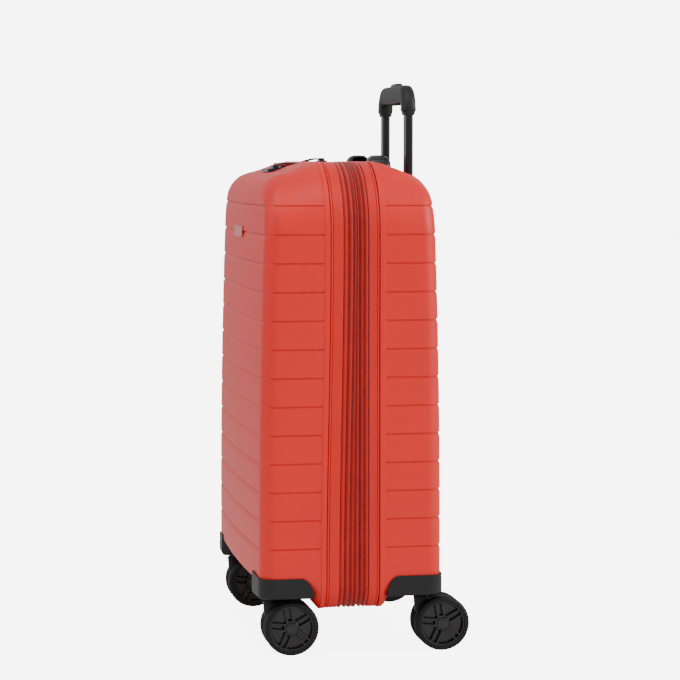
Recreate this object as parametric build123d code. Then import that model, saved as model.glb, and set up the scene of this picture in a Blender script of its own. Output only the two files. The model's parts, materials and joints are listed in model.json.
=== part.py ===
from build123d import *
import math
import os

os.makedirs("parts", exist_ok=True)

# ---------------------------------------------------------------- driving sizes (mm)
case_width = 360.0          # X, over the side walls
case_depth = 211.0          # Y, front face to back face at the widest
shell_bottom = 65.0         # Z, underside of the shells
shell_top = 542.0           # Z, top of the shells
rim_step_bottom = 14.0      # how far the rims stand below the shells
rim_step_top = 10.0         # how far the rims stand above the shells
wall = 2.2                  # shell wall
rim_wall = 4.0              # radial wall of rims and zip chains
rim_corner_top = 75.0       # front view corner radii of the rims
rim_corner_bottom = 28.0
face_round = 40.0           # side view rounding at the top of each face
face_round_low = 22.0       # and at the bottom
edge_round = 13.0           # plan view rounding between a face and a side
face_bow = 7.5              # how far the front face bulges across the width
barrel_drop = 9.0           # how far each face leans in at the top
barrel_level = 122.0        # Z where each face is widest
wheel_radius = 31.0
wheel_width = 15.0
stem_inset_x = 30.0         # swivel axis in from the side wall
stem_inset_y = 19.0         # swivel axis in from the face
caster_trail = 22.0         # axle behind the swivel axis

# ---------------------------------------------------------------- fits
run_fit = 0.08              # radial clearance of turning fits
slide_fit = 0.30            # clearance round sliding tubes
lay_fit = 0.05              # gap where pieces are laid against each other
part_gap = 0.20             # gap between two chain halves that come apart

# ---------------------------------------------------------------- ribs across the shells
groove_count = 13
groove_pitch = 31.8
groove_first = 121.8        # Z of the lowest groove
groove_width = 1.8
groove_depth = 0.9

# ---------------------------------------------------------------- stack along Y, front to back
seam = -1.5                                 # where the main zip parts
chain = 6.0                                 # half width of a zip chain
band = 11.0                                 # rim band beside a chain
bead = 6.0                                  # raised bead at a shell's edge
front_rim_back = seam - chain
front_rim_front = front_rim_back - band
front_shell_edge = front_rim_front - 4.0
mid_front = seam + chain
mid_back = mid_front + 6.5
second_seam = mid_back + chain - 1.5
second_back = second_seam + chain - 0.5
back_rim_back = second_back + band + 1.5
back_shell_edge = back_rim_back

half_width = case_width / 2
half_depth = case_depth / 2
rim_bottom = shell_bottom - rim_step_bottom
rim_top = shell_top + rim_step_top
shell_corner_top = rim_corner_top - 7.0
shell_corner_bottom = rim_corner_bottom - 4.0
big = 1000.0


# ---------------------------------------------------------------- helpers
def box(x0, x1, y0, y1, z0, z1):
    return Pos((x0 + x1) / 2, (y0 + y1) / 2, (z0 + z1) / 2) * Box(abs(x1 - x0), abs(y1 - y0), abs(z1 - z0))


def rod(radius, start, end):
    """A cylinder between two points."""
    line = Vector(*end) - Vector(*start)
    return extrude(Plane(origin=start, z_dir=line) * Circle(radius), amount=line.length)


def along_y(sketch, y0, y1):
    return extrude(Plane(origin=(0, y1, 0), x_dir=(1, 0, 0), z_dir=(0, -1, 0)) * sketch,
                   amount=y1 - y0, dir=(0, -1, 0))


def along_x(sketch, x0, x1):
    return extrude(Plane(origin=(x0, 0, 0), x_dir=(0, 1, 0), z_dir=(1, 0, 0)) * sketch,
                   amount=x1 - x0, dir=(1, 0, 0))


def round_box(width, low, high, top_radius, bottom_radius):
    """Front view outline with its own radii above and below."""
    outline = Pos(0, (low + high) / 2) * Rectangle(width, high - low)
    rows = outline.vertices().group_by(Axis.Y)
    outline = fillet(rows[-1], top_radius)
    rows = outline.vertices().group_by(Axis.Y)
    return fillet(rows[0], bottom_radius)


def rim_outline(inset, floor_inset=None):
    low = rim_bottom + (inset if floor_inset is None else floor_inset)
    return round_box(case_width - 2 * inset, low, rim_top - inset, rim_corner_top - inset,
                     max(rim_corner_bottom - inset, 4))


def rim_ring(outer_inset, inner_inset, y0, y1, floor_inset=None, top_inset=None):
    """A closed ring following the rims; inside it stops at the shell's cavity."""
    inner_low = shell_bottom + inner_inset if floor_inset is None else floor_inset
    inner_high = shell_top - inner_inset if top_inset is None else top_inset
    hole = round_box(case_width - 2 * inner_inset, inner_low, inner_high,
                     shell_corner_top - inner_inset, shell_corner_bottom - inner_inset)
    return along_y(rim_outline(outer_inset), y0, y1) - along_y(hole, y0 - 1, y1 + 1)


def side_profile(inset):
    """Side view outline: two barrelled faces, rounded into the top and bottom."""
    low, high = shell_bottom + inset, shell_top - inset
    reach = half_depth - inset
    rise = (high - barrel_level)
    fall = barrel_drop * ((barrel_level - low) / rise) ** 2
    back = ThreePointArc((reach - fall, low), (reach, barrel_level), (reach - barrel_drop, high))
    front = ThreePointArc((-reach + barrel_drop, high), (-reach, barrel_level), (-reach + fall, low))
    top = Line(back @ 1, front @ 0)
    bottom = Line(front @ 1, back @ 0)
    face = make_face([back, top, front, bottom])
    face = fillet(face.vertices().group_by(Axis.Y)[-1], face_round - inset)
    return fillet(face.vertices().group_by(Axis.Y)[0], face_round_low - inset)


def plan_outline(inset):
    """Plan view outline: bowed front, flat back, rounded corners."""
    x, y = half_width - inset, half_depth - inset
    front = ThreePointArc((-x, -y + face_bow), (0, -y), (x, -y + face_bow))
    back = Line((x, y), (-x, y))
    face = make_face([front, Line(front @ 1, back @ 0), back, Line(back @ 1, front @ 0)])
    return fillet(face.vertices(), max(edge_round - inset, 3))


def case_form(inset):
    """The whole shell form, moved inwards by inset."""
    front_view = round_box(case_width - 2 * inset, shell_bottom + inset, shell_top - inset,
                           shell_corner_top - inset, max(shell_corner_bottom - inset, 4))
    form = along_y(front_view, -half_depth - 5, half_depth + 5)
    form = form & along_x(side_profile(inset), -half_width - 5, half_width + 5)
    return form & extrude(plan_outline(inset), amount=shell_top + 20)


def one_solid(shape):
    return max(shape.solids(), key=lambda s: s.volume)


nodes = {}


def keep(name, shape):
    nodes[name] = shape


# ---------------------------------------------------------------- wheel wells
well_reach = wheel_radius + 14.0            # how far a wheel reaches up near the shell
well_x = half_width - stem_inset_x - well_reach
well_y = half_depth - stem_inset_y - well_reach
plate = 2.5                                 # guard plate over the wheels
wheel_gap = 4.0                             # air above the wheels
plate_bottom = 2 * wheel_radius + wheel_gap
well_top = plate_bottom + plate


def wells(grow):
    cuts = []
    for sx in (-1, 1):
        for sy in (-1, 1):
            cuts.append(box(sx * (well_x - grow), sx * big / 2, sy * (well_y - grow), sy * big / 2,
                            0, well_top + grow))
    return cuts


outer_form = case_form(0)
inner_form = case_form(wall)
outer_cut, inner_cut = outer_form, inner_form
for cut in wells(0):
    outer_cut = outer_cut - cut
for cut in wells(wall):
    inner_cut = inner_cut - cut

# ---------------------------------------------------------------- telescopic handle sizes
tube_x = 67.0
tube_y = half_depth - 17.0
inner_size = (19.0, 8.6)                    # section of each tube stage, X by Y
tube_wall = 0.8
mid_size = tuple(s + 2 * (slide_fit + tube_wall) for s in inner_size)
outer_size = tuple(s + 2 * (slide_fit + tube_wall) for s in mid_size)
grip_top = 641.0                            # Z of the grip as drawn, partly pulled out
grip_legs = 35.0
grip_bar = 22.0
grip_depth = 15.0
grip_leg_width = 24.0
shown = 86.0                                # how far the grip stands above its stowed place
tray_floor = grip_top - grip_legs - shown - 1.0
tray_low = tray_floor - 13.0
tray_half = tube_x + grip_leg_width / 2 + 7.0
tray_front = tube_y - grip_depth / 2 - 6.0

# ---------------------------------------------------------------- shells
skin = outer_cut - inner_cut
groove_ring = outer_form - case_form(groove_depth)
slabs = [box(-big, big, -big, big, groove_first + i * groove_pitch - groove_width / 2,
             groove_first + i * groove_pitch + groove_width / 2) for i in range(groove_count)]
groove_cut = [groove_ring & slab for slab in slabs]

shell_front_view = round_box(case_width, shell_bottom, shell_top, shell_corner_top, shell_corner_bottom)
bead_view = round_box(case_width + 1.2, shell_bottom - 0.6, shell_top + 0.6, shell_corner_top + 0.6,
                      shell_corner_bottom + 0.6)


def edge_bead(y0, y1):
    return along_y(bead_view, y0, y1) - along_y(shell_front_view, y0 - 1, y1 + 1)


front_shell = skin & box(-big, big, -big, front_shell_edge, 0, big)
back_shell = skin & box(-big, big, back_shell_edge, big, 0, big)
smooth_edge = box(-big, big, front_shell_edge - bead, back_shell_edge + bead, 0, big)
for ring in groove_cut:
    ring = ring - smooth_edge
    front_shell = front_shell - ring
    back_shell = back_shell - ring
front_shell = front_shell + edge_bead(front_shell_edge - bead, front_shell_edge)
back_shell = back_shell + edge_bead(back_shell_edge, back_shell_edge + bead)

tray_hole = box(-tray_half, tray_half, tray_front, big / 2, tray_low, big)
back_shell = back_shell - tray_hole

# ---------------------------------------------------------------- rims, each with a tongue inside its shell
tongue = 5.0
tongue_out, tongue_in = wall + lay_fit, rim_wall


def tongue_ring(y0, y1):
    out = round_box(case_width - 2 * tongue_out, shell_bottom + tongue_out, shell_top - tongue_out,
                    shell_corner_top - tongue_out, shell_corner_bottom - tongue_out)
    inside = round_box(case_width - 2 * tongue_in, shell_bottom + tongue_in, shell_top - tongue_in,
                       shell_corner_top - tongue_in, shell_corner_bottom - tongue_in)
    return along_y(out, y0, y1) - along_y(inside, y0 - 1, y1 + 1)


keep("front_rim", rim_ring(0, rim_wall, front_shell_edge + lay_fit, front_rim_back)
     + tongue_ring(front_shell_edge - tongue, front_shell_edge + 1))
keep("back_rim", rim_ring(0, rim_wall, second_back, back_shell_edge - lay_fit)
     + tongue_ring(back_shell_edge - 1, back_shell_edge + tongue))

# ---------------------------------------------------------------- zip chains, middle frame and gusset
chain_in = 0.8                              # chains sit just under the rims' outer face


def chain_ring(y0, y1, tooth_y):
    ring = rim_ring(chain_in, rim_wall, y0, y1)
    return ring + rim_ring(chain_in - 0.5, rim_wall, tooth_y - 0.9, tooth_y + 0.9)


keep("main_zip_front", chain_ring(front_rim_back + lay_fit, seam - part_gap / 2, seam - 1.2))
keep("main_zip_back", chain_ring(seam + part_gap / 2, mid_front, seam + 1.2))
keep("mid_frame", rim_ring(0.3, rim_wall, mid_front + lay_fit, mid_back))
keep("expansion_zip_front", chain_ring(mid_back + lay_fit, second_seam - part_gap / 2, second_seam - 1.2))
keep("expansion_zip_back", chain_ring(second_seam + part_gap / 2, second_back - lay_fit, second_seam + 1.2))

gusset_out, gusset_in = rim_wall + 0.3, rim_wall + 1.5


def inner_ring(out_inset, in_inset, y0, y1):
    """A ring set in from the shells' front view outline."""
    out = round_box(case_width - 2 * out_inset, shell_bottom + out_inset, shell_top - out_inset,
                    shell_corner_top - out_inset, shell_corner_bottom - out_inset)
    hole = round_box(case_width - 2 * in_inset, shell_bottom + in_inset, shell_top - in_inset,
                     shell_corner_top - in_inset, shell_corner_bottom - in_inset)
    return along_y(out, y0, y1) - along_y(hole, y0 - 1, y1 + 1)


keep("expansion_gusset", inner_ring(gusset_out, gusset_in, mid_front + 1, second_back + 6))

# ---------------------------------------------------------------- fabric hinge on the -X side
hinge_low, hinge_high = shell_bottom + 60.0, shell_top - 90.0
hinge_x = -half_width - 3.0                 # the cord that the halves fold round
hinge_cord = 1.5
chain_face = -half_width + chain_in - 0.5
tape_out = chain_face - lay_fit
cord_form = rod(hinge_cord, (hinge_x, seam, hinge_low), (hinge_x, seam, hinge_high))
cord_form = cord_form + box(hinge_x, tape_out, seam + part_gap / 2 + 0.1, seam + 1.3, hinge_low, hinge_high)
keep("hinge_tape", cord_form + box(tape_out - 0.9, tape_out, seam + part_gap / 2 + 0.1, mid_front - 0.5,
                                   hinge_low, hinge_high))

# ---------------------------------------------------------------- linings and the divider
lining_out, lining_in = 6.4, 7.2
lining_outer, lining_inner = case_form(lining_out), case_form(lining_in)
for cut in wells(lining_out):
    lining_outer = lining_outer - cut
for cut in wells(lining_in):
    lining_inner = lining_inner - cut
lining_back = min(tube_y - outer_size[1] / 2, tray_front) - 1.0
lining_skin = lining_outer - lining_inner
keep("front_lining", one_solid(lining_skin & box(-big, big, -big, front_rim_back - 2, 0, big)))
pan_low = well_top + 3.0                    # the back pan's floor clears the wheel wells


def pan_view(inset, low):
    return round_box(case_width - 2 * inset, low, shell_top - inset, shell_corner_top - inset,
                     shell_corner_bottom - inset)


back_pan = along_y(pan_view(lining_out, pan_low), second_back + 8, lining_back)
back_room = along_y(pan_view(lining_in, pan_low + 0.8), second_back, lining_back - 0.8)
keep("back_lining", back_pan - back_room)

divider_y = front_rim_back - 4.0
divider_view = round_box(case_width - 2 * (lining_in + 0.4), shell_bottom + lining_in + 4,
                         shell_top - lining_in - 0.4, shell_corner_top - lining_in,
                         shell_corner_bottom - lining_in)
keep("divider_panel", along_y(divider_view, divider_y - 1.2, divider_y))

# ---------------------------------------------------------------- cross strap and buckle in the back half
strap_y = lining_back - 6.0
strap_z = (shell_bottom + shell_top) / 2
strap_half = half_width - lining_in - 0.3
buckle_half = 24.0
strap = box(-strap_half, strap_half, strap_y - 1.5, strap_y, strap_z - 12.5, strap_z + 12.5)
ends = [box(s * strap_half, s * (strap_half - 2), strap_y - 1.5, lining_back - 0.85,
            strap_z - 12.5, strap_z + 12.5) for s in (-1, 1)]
keep("cross_strap", strap + ends[0] + ends[1])
buckle = box(-buckle_half, buckle_half, strap_y - 5.5, strap_y + 4.2, strap_z - 17, strap_z + 17)
buckle = fillet(buckle.edges().filter_by(Axis.Y), 4)
buckle = buckle - box(-buckle_half - 1, buckle_half + 1, strap_y - 1.5 - lay_fit, strap_y + lay_fit,
                      strap_z - 12.5 - lay_fit, strap_z + 12.5 + lay_fit)
keep("strap_buckle", buckle)

# ---------------------------------------------------------------- corner guards
guard_proud = 1.6
guard_high = 89.0
guard_form = extrude(plan_outline(-guard_proud), amount=guard_high + 20)
guard_form = guard_form & along_y(round_box(case_width + 2 * guard_proud, plate_bottom - 12, guard_high + 60, 20, 14),
                                  -half_depth - 5, half_depth + 5)
boss_radius, boss_low = 13.0, plate_bottom - 2.2
stem_radius = 6.0
stem_top = well_top - 0.8
stem_x = half_width - stem_inset_x
stem_y = half_depth - stem_inset_y
side_names = {(-1, -1): "front_left", (1, -1): "front_right", (-1, 1): "back_left", (1, 1): "back_right"}
for (sx, sy), place in side_names.items():
    corner = box(sx * (well_x + lay_fit), sx * big / 2, sy * (well_y + lay_fit), sy * big / 2,
                 plate_bottom, guard_high)
    guard = (guard_form & corner) - outer_cut
    guard = one_solid(guard)
    guard = guard + Pos(sx * stem_x, sy * stem_y, (boss_low + plate_bottom + 0.5) / 2) * Cylinder(
        boss_radius, plate_bottom + 0.5 - boss_low)
    guard = guard - Pos(sx * stem_x, sy * stem_y, (boss_low + stem_top) / 2) * Cylinder(
        stem_radius + run_fit, stem_top + 0.4 - boss_low + 0.4)
    keep("corner_guard_" + place, one_solid(guard))

# ---------------------------------------------------------------- casters, drawn trailing to +Y
web_half = 4.0
wheel_inner = web_half + 0.8                # wheel face nearest the web
axle_radius = 2.5
axle_half = wheel_inner + wheel_width - 3.0
hub_radius = 7.0


def swivel_fork():
    """Swivel stem, cap and the web that carries the axle, at the swivel axis."""
    cap_low = boss_low - 3.6
    stem = rod(stem_radius, (0, 0, cap_low), (0, 0, stem_top))
    cap = rod(8.5, (0, 0, cap_low), (0, 0, boss_low - 0.3))
    outline = Polygon((-8, cap_low + 1.5), (8, cap_low + 1.5), (caster_trail + 9, wheel_radius + 9),
                      (caster_trail + 9, wheel_radius - 6), (caster_trail - 7, wheel_radius - 10),
                      (0, wheel_radius + 2), (-8, wheel_radius + 16), align=None)
    outline = fillet(outline.vertices().sort_by(Axis.Y)[:3], 6)
    web = along_x(outline, -web_half, web_half)
    web = web - rod(axle_radius + 0.01, (-10, caster_trail, wheel_radius), (10, caster_trail, wheel_radius))
    return web + cap + stem


def wheel():
    """One wheel with its outer face towards +X, centred on the axle line at X = 0."""
    body = rod(wheel_radius, (0, 0, 0), (wheel_width, 0, 0))
    body = fillet(body.edges().group_by(Axis.X)[0] + body.edges().group_by(Axis.X)[-1], 2.6)
    recess = rod(wheel_radius - 6.5, (wheel_width - 5.5, 0, 0), (wheel_width + 1, 0, 0))
    recess = recess - rod(hub_radius, (0, 0, 0), (wheel_width + 2, 0, 0))
    for i in range(5):
        for side in (-1, 1):
            bar = box(wheel_width - 6, wheel_width - 1.6, side * 3.4 - 1.1, side * 3.4 + 1.1, 3, wheel_radius - 5)
            recess = recess - Rot(i * 72, 0, 0) * bar
    body = body - recess
    groove = rod(wheel_radius + 1, (wheel_width / 2 - 0.8, 0, 0), (wheel_width / 2 + 0.8, 0, 0))
    groove = groove - rod(wheel_radius - 0.9, (0, 0, 0), (wheel_width, 0, 0))
    body = body - groove
    return body - rod(axle_radius + run_fit, (-1, 0, 0), (wheel_width - 2.5, 0, 0))


fork_shape, wheel_shape = swivel_fork(), wheel()
for (sx, sy), place in side_names.items():
    spot = Pos(sx * stem_x, sy * stem_y, 0)
    keep("caster_fork_" + place, spot * fork_shape)
    axle_spot = spot * Pos(0, caster_trail, wheel_radius)
    keep("caster_axle_" + place, axle_spot * rod(axle_radius, (-axle_half, 0, 0), (axle_half, 0, 0)))
    keep("wheel_" + place + ("_outer" if sx > 0 else "_inner"), axle_spot * Pos(wheel_inner, 0, 0) * wheel_shape)
    keep("wheel_" + place + ("_inner" if sx > 0 else "_outer"),
         axle_spot * Pos(-wheel_inner, 0, 0) * Rot(0, 0, 180) * wheel_shape)

# ---------------------------------------------------------------- telescopic handle
tray = (case_form(-1.2) & box(-tray_half, tray_half, tray_front, big / 2, tray_low, big))
tray = one_solid(tray)
notch = box(-tube_x - grip_leg_width / 2 - 0.6, tube_x + grip_leg_width / 2 + 0.6,
            tube_y - grip_depth / 2 - 0.6, big / 2, tray_floor, big)
tray = tray - notch
low_end = shell_bottom + wall + 26.0        # bottom end of the outer tubes
mid_top = tray_floor - 1.0
outer_top = tray_low + 8.0
for s in (-1, 1):
    socket = box(s * tube_x - outer_size[0] / 2 - lay_fit, s * tube_x + outer_size[0] / 2 + lay_fit,
                 tube_y - outer_size[1] / 2 - lay_fit, tube_y + outer_size[1] / 2 + lay_fit, 0, outer_top + lay_fit)
    bore = box(s * tube_x - mid_size[0] / 2 - slide_fit, s * tube_x + mid_size[0] / 2 + slide_fit,
               tube_y - mid_size[1] / 2 - slide_fit, tube_y + mid_size[1] / 2 + slide_fit, 0, big)
    tray = tray - socket - bore
keep("trolley_tray", one_solid(tray))


def tube(size, x, low, high):
    outer = Pos(x, tube_y) * RectangleRounded(size[0], size[1], 3.0)
    inner = Pos(x, tube_y) * RectangleRounded(size[0] - 2 * tube_wall, size[1] - 2 * tube_wall, 2.2)
    return Pos(0, 0, low) * extrude(outer - inner, amount=high - low)


inner_low, inner_top = grip_top - grip_legs + 8.0 - 430.0, grip_top - grip_legs + 8.0
mid_low = low_end + 10.0
for s, side in ((-1, "left"), (1, "right")):
    keep("outer_tube_" + side, tube(outer_size, s * tube_x, low_end, outer_top))
    keep("mid_tube_" + side, tube(mid_size, s * tube_x, mid_low, mid_top))
    keep("inner_tube_" + side, tube(inner_size, s * tube_x, inner_low, inner_top))

foot = box(-tube_x - 20, tube_x + 20, tube_y - outer_size[1] / 2 - 1.2, tube_y + outer_size[1] / 2 + 0.6,
           low_end - 4, low_end + 8)
for s in (-1, 1):
    foot = foot - box(s * tube_x - outer_size[0] / 2 - lay_fit, s * tube_x + outer_size[0] / 2 + lay_fit,
                      tube_y - outer_size[1] / 2 - lay_fit, tube_y + outer_size[1] / 2 + lay_fit,
                      low_end - lay_fit, big)
keep("tube_foot", foot)

grip_half = tube_x + grip_leg_width / 2
legs_low = grip_top - grip_legs
grip_view = make_face(Polyline((-grip_half, legs_low), (-grip_half, grip_top), (grip_half, grip_top),
                               (grip_half, legs_low), (grip_half - grip_leg_width, legs_low),
                               (grip_half - grip_leg_width, grip_top - grip_bar),
                               (-grip_half + grip_leg_width, grip_top - grip_bar),
                               (-grip_half + grip_leg_width, legs_low), close=True))
grip_view = fillet(grip_view.vertices().group_by(Axis.Y)[-1], 14)
grip_view = fillet([v for v in grip_view.vertices() if abs(v.Y - (grip_top - grip_bar)) < 0.1
                    and abs(v.X) < grip_half - 15], 8)
grip = along_y(grip_view, tube_y - grip_depth / 2, tube_y + grip_depth / 2)
grip = fillet(grip.edges().filter_by(lambda e: abs(e.center().Y - tube_y) > grip_depth / 2 - 0.1
                                     and e.center().Z > legs_low + 1), 4.5)
button_half, button_depth, button_up = 22.0, 10.0, 3.0
grip = grip - box(-button_half - 0.3, button_half + 0.3, tube_y - button_depth / 2 - 0.3,
                  tube_y + button_depth / 2 + 0.3, grip_top - 9, grip_top + 5)
for s in (-1, 1):
    grip = grip - box(s * tube_x - inner_size[0] / 2 - lay_fit, s * tube_x + inner_size[0] / 2 + lay_fit,
                      tube_y - inner_size[1] / 2 - lay_fit, tube_y + inner_size[1] / 2 + lay_fit,
                      legs_low - 1, inner_top + lay_fit)
keep("trolley_grip", grip)
button = box(-button_half, button_half, tube_y - button_depth / 2, tube_y + button_depth / 2,
             grip_top - 5.2, grip_top + button_up)
button = fillet(button.edges().filter_by(Axis.Z), 4.8)
button = fillet(button.edges().group_by(Axis.Z)[-1], 1.4)
keep("trolley_button", button)

# ---------------------------------------------------------------- carry handle on top of the back shell
carry_y = 53.5
bracket_x = 66.0
bracket_size = (30.0, 27.0)
bracket_top = rim_top + 4.0
strap_width, strap_thick = 20.0, 4.0
end_low = shell_top + 1.6
lift = 6.5
for s, side in ((-1, "left"), (1, "right")):
    block = box(s * bracket_x - bracket_size[0] / 2, s * bracket_x + bracket_size[0] / 2,
                carry_y - bracket_size[1] / 2, carry_y + bracket_size[1] / 2, shell_top - 6, bracket_top)
    block = fillet(block.edges().filter_by(Axis.Z), 6)
    block = fillet(block.edges().group_by(Axis.Z)[-1], 3)
    block = block - outer_form
    inner_x = s * (bracket_x - bracket_size[0] / 2 - 1)
    block = block - box(inner_x, s * (bracket_x + 7), carry_y - strap_width / 2 - 0.35,
                        carry_y + strap_width / 2 + 0.35, end_low - 0.2, end_low + strap_thick + lift + 0.4)
    keep("carry_bracket_" + side, one_solid(block))

end_x, bend_x, flat_x = bracket_x + 6.0, bracket_x - bracket_size[0] / 2 - 2, bracket_x - bracket_size[0] / 2 - 10
flat_low = end_low + 4.2
strap_view = make_face(Polyline((-end_x, end_low), (-bend_x, end_low), (-flat_x, flat_low), (flat_x, flat_low),
                                (bend_x, end_low), (end_x, end_low), (end_x, end_low + strap_thick),
                                (bend_x, end_low + strap_thick), (flat_x, flat_low + strap_thick),
                                (-flat_x, flat_low + strap_thick), (-bend_x, end_low + strap_thick),
                                (-end_x, end_low + strap_thick), close=True))
keep("carry_grip", along_y(strap_view, carry_y - strap_width / 2, carry_y + strap_width / 2))

# ---------------------------------------------------------------- lock let into the top of the front shell
lock_half, lock_y = 26.0, (-69.0, -29.5)    # half length along X, span along Y
lock_top = shell_top + 2.2
lock_low = shell_top - lining_out + 0.6
flange = 3.0
dial_radius, dial_width, dial_pitch = 4.0, 3.4, 5.0
dial_pin = 1.0
dial_y, dial_z = lock_y[1] - 8.5, lock_top - 2.4
dial_x = [-15.0 + i * dial_pitch for i in range(3)]
press_x = (4.0, 20.0)
press_travel = 1.5
plate_shape = box(-lock_half, lock_half, lock_y[0], lock_y[1], shell_top - 12, lock_top)
plate_shape = fillet(plate_shape.edges().filter_by(Axis.Z), 4) - outer_form
lock_well = box(-lock_half + flange, lock_half - flange, lock_y[0] + 9, lock_y[1] - flange, lock_low, shell_top + 1)
dock = box(-13, 13, lock_y[0] + 8, lock_y[0] + 24, shell_top, lock_top + 4.2)
dock = fillet(dock.edges().filter_by(Axis.Z), 3)
dock = dock - box(-14, 14, lock_y[0] + 14, lock_y[0] + 18, lock_top + 1.2, lock_top + 3.0)
lock = plate_shape + lock_well + dock
dial_slot = (dial_x[0] - dial_pitch / 2, dial_x[-1] + dial_pitch / 2)
lock = lock - box(dial_slot[0], dial_slot[1], dial_y - 4.5, dial_y + 4.5, dial_z - 4.4, big)
lock = lock + rod(dial_pin, (dial_slot[0] - 0.5, dial_y, dial_z), (dial_slot[1] + 0.5, dial_y, dial_z))
lock = lock - box(press_x[0] - 0.3, press_x[1] + 0.3, dial_y - 4.3, dial_y + 4.3, lock_low + 1.4, big)
keep("lock_body", one_solid(lock))
hole = box(-lock_half + flange - lay_fit, lock_half - flange + lay_fit, lock_y[0] + 9 - lay_fit,
           lock_y[1] - flange + lay_fit, shell_top - 8, big)
keep("front_shell", one_solid(front_shell - hole))
keep("back_shell", one_solid(back_shell))
for i, x in enumerate(dial_x):
    dial = rod(dial_radius, (x - dial_width / 2, dial_y, dial_z), (x + dial_width / 2, dial_y, dial_z))
    for k in range(10):
        nick = rod(0.5, (x - dial_width, dial_y, dial_z + dial_radius), (x + dial_width, dial_y, dial_z + dial_radius))
        dial = dial - Pos(0, dial_y, dial_z) * Rot(k * 36, 0, 0) * Pos(0, -dial_y, -dial_z) * nick
    dial = dial - rod(dial_pin + run_fit, (x - 5, dial_y, dial_z), (x + 5, dial_y, dial_z))
    keep(f"lock_dial_{i + 1}", dial)
press = box(press_x[0], press_x[1], dial_y - 4.0, dial_y + 4.0, lock_low + 1.4 + press_travel + 0.4, lock_top + 1.8)
keep("lock_button", fillet(press.edges().filter_by(Axis.Z), 1.5))

# ---------------------------------------------------------------- zip sliders and their long pulls
slider_x = 9.0
slider_low = rim_top - chain_in + 0.5 + 0.25
slider_size = (13.0, 8.5, 2.0)
pin_z = slider_low + slider_size[2] + 1.6
pin_radius, barrel_radius, pull_half = 0.7, 1.45, 2.4


def slider():
    """Slider body with a pinned bridge, at X = 0 on the seam."""
    body = box(-slider_size[0] / 2, slider_size[0] / 2, seam - slider_size[1] / 2, seam + slider_size[1] / 2,
               slider_low, slider_low + slider_size[2])
    body = fillet(body.edges().filter_by(Axis.Z), 3)
    for s in (-1, 1):
        body = body + box(s * (pull_half + 0.3), s * (pull_half + 1.4), seam - 1.3, seam + 1.3,
                          slider_low + 0.5, pin_z + 1.2)
    return body + rod(pin_radius, (-pull_half - 1, seam, pin_z), (pull_half + 1, seam, pin_z))


def pull():
    """Long pull reaching from the slider's bridge down to the lock."""
    y0, y1 = seam - 1.0, lock_y[0] + 12.0
    low_z = lock_top + 4.2 + 0.4
    upper = [(y0, pin_z + 0.9), (y0 - 17, pin_z + 0.7), (y0 - 24, pin_z - 0.6), (y0 - 34, low_z + 2.4),
             (y1 + 8, low_z + 1.9), (y1, low_z + 1.9)]
    lower = [(y1, low_z), (y1 + 8, low_z), (y0 - 34, low_z + 0.4), (y0 - 25, pin_z - 2.4),
             (y0 - 17, pin_z - 0.95), (y0, pin_z - 0.9)]
    strip = along_x(make_face(Polyline(*upper, *lower, close=True)), -pull_half, pull_half)
    strip = strip + rod(barrel_radius, (-pull_half, seam, pin_z), (pull_half, seam, pin_z))
    return strip - rod(pin_radius + run_fit, (-10, seam, pin_z), (10, seam, pin_z))


slider_shape, pull_shape = slider(), pull()
for s, side in ((-1, "left"), (1, "right")):
    keep("zip_slider_" + side, Pos(s * slider_x, 0, 0) * slider_shape)
    keep("zip_pull_" + side, Pos(s * slider_x, 0, 0) * pull_shape)

# ---------------------------------------------------------------- expansion slider, low on the -X side
exp_slider_z = shell_bottom + 100.0
slider_face = -half_width + chain_in - 0.5 - 0.25
exp_slider = box(slider_face - 1.7, slider_face, second_seam - 4.2, second_seam + 4.2,
                 exp_slider_z - 6.5, exp_slider_z + 6.5)
exp_slider = fillet(exp_slider.edges().filter_by(Axis.X), 3)
exp_slider = exp_slider + box(slider_face - 1.9, slider_face - 1.0, second_seam - 2, second_seam + 2,
                              exp_slider_z - 24, exp_slider_z - 2)
keep("expansion_slider", exp_slider)

# ---------------------------------------------------------------- blank badge on the front face
badge_z = groove_first + (groove_count - 2) * groove_pitch
badge_view = Pos(0, badge_z) * RectangleRounded(60, 13, 2)
badge = along_y(badge_view, -half_depth - 6, -half_depth + 40) & case_form(-1.4)
badge = badge - outer_form
keep("badge", one_solid(badge & box(-big, big, -big, 0, 0, big)))

for name, shape in nodes.items():
    export_step(shape, f"parts/{name}.step")
print(len(nodes), "nodes")
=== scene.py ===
import bpy
import bmesh
import json
import math
from mathutils import Vector, Matrix, noise


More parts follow.
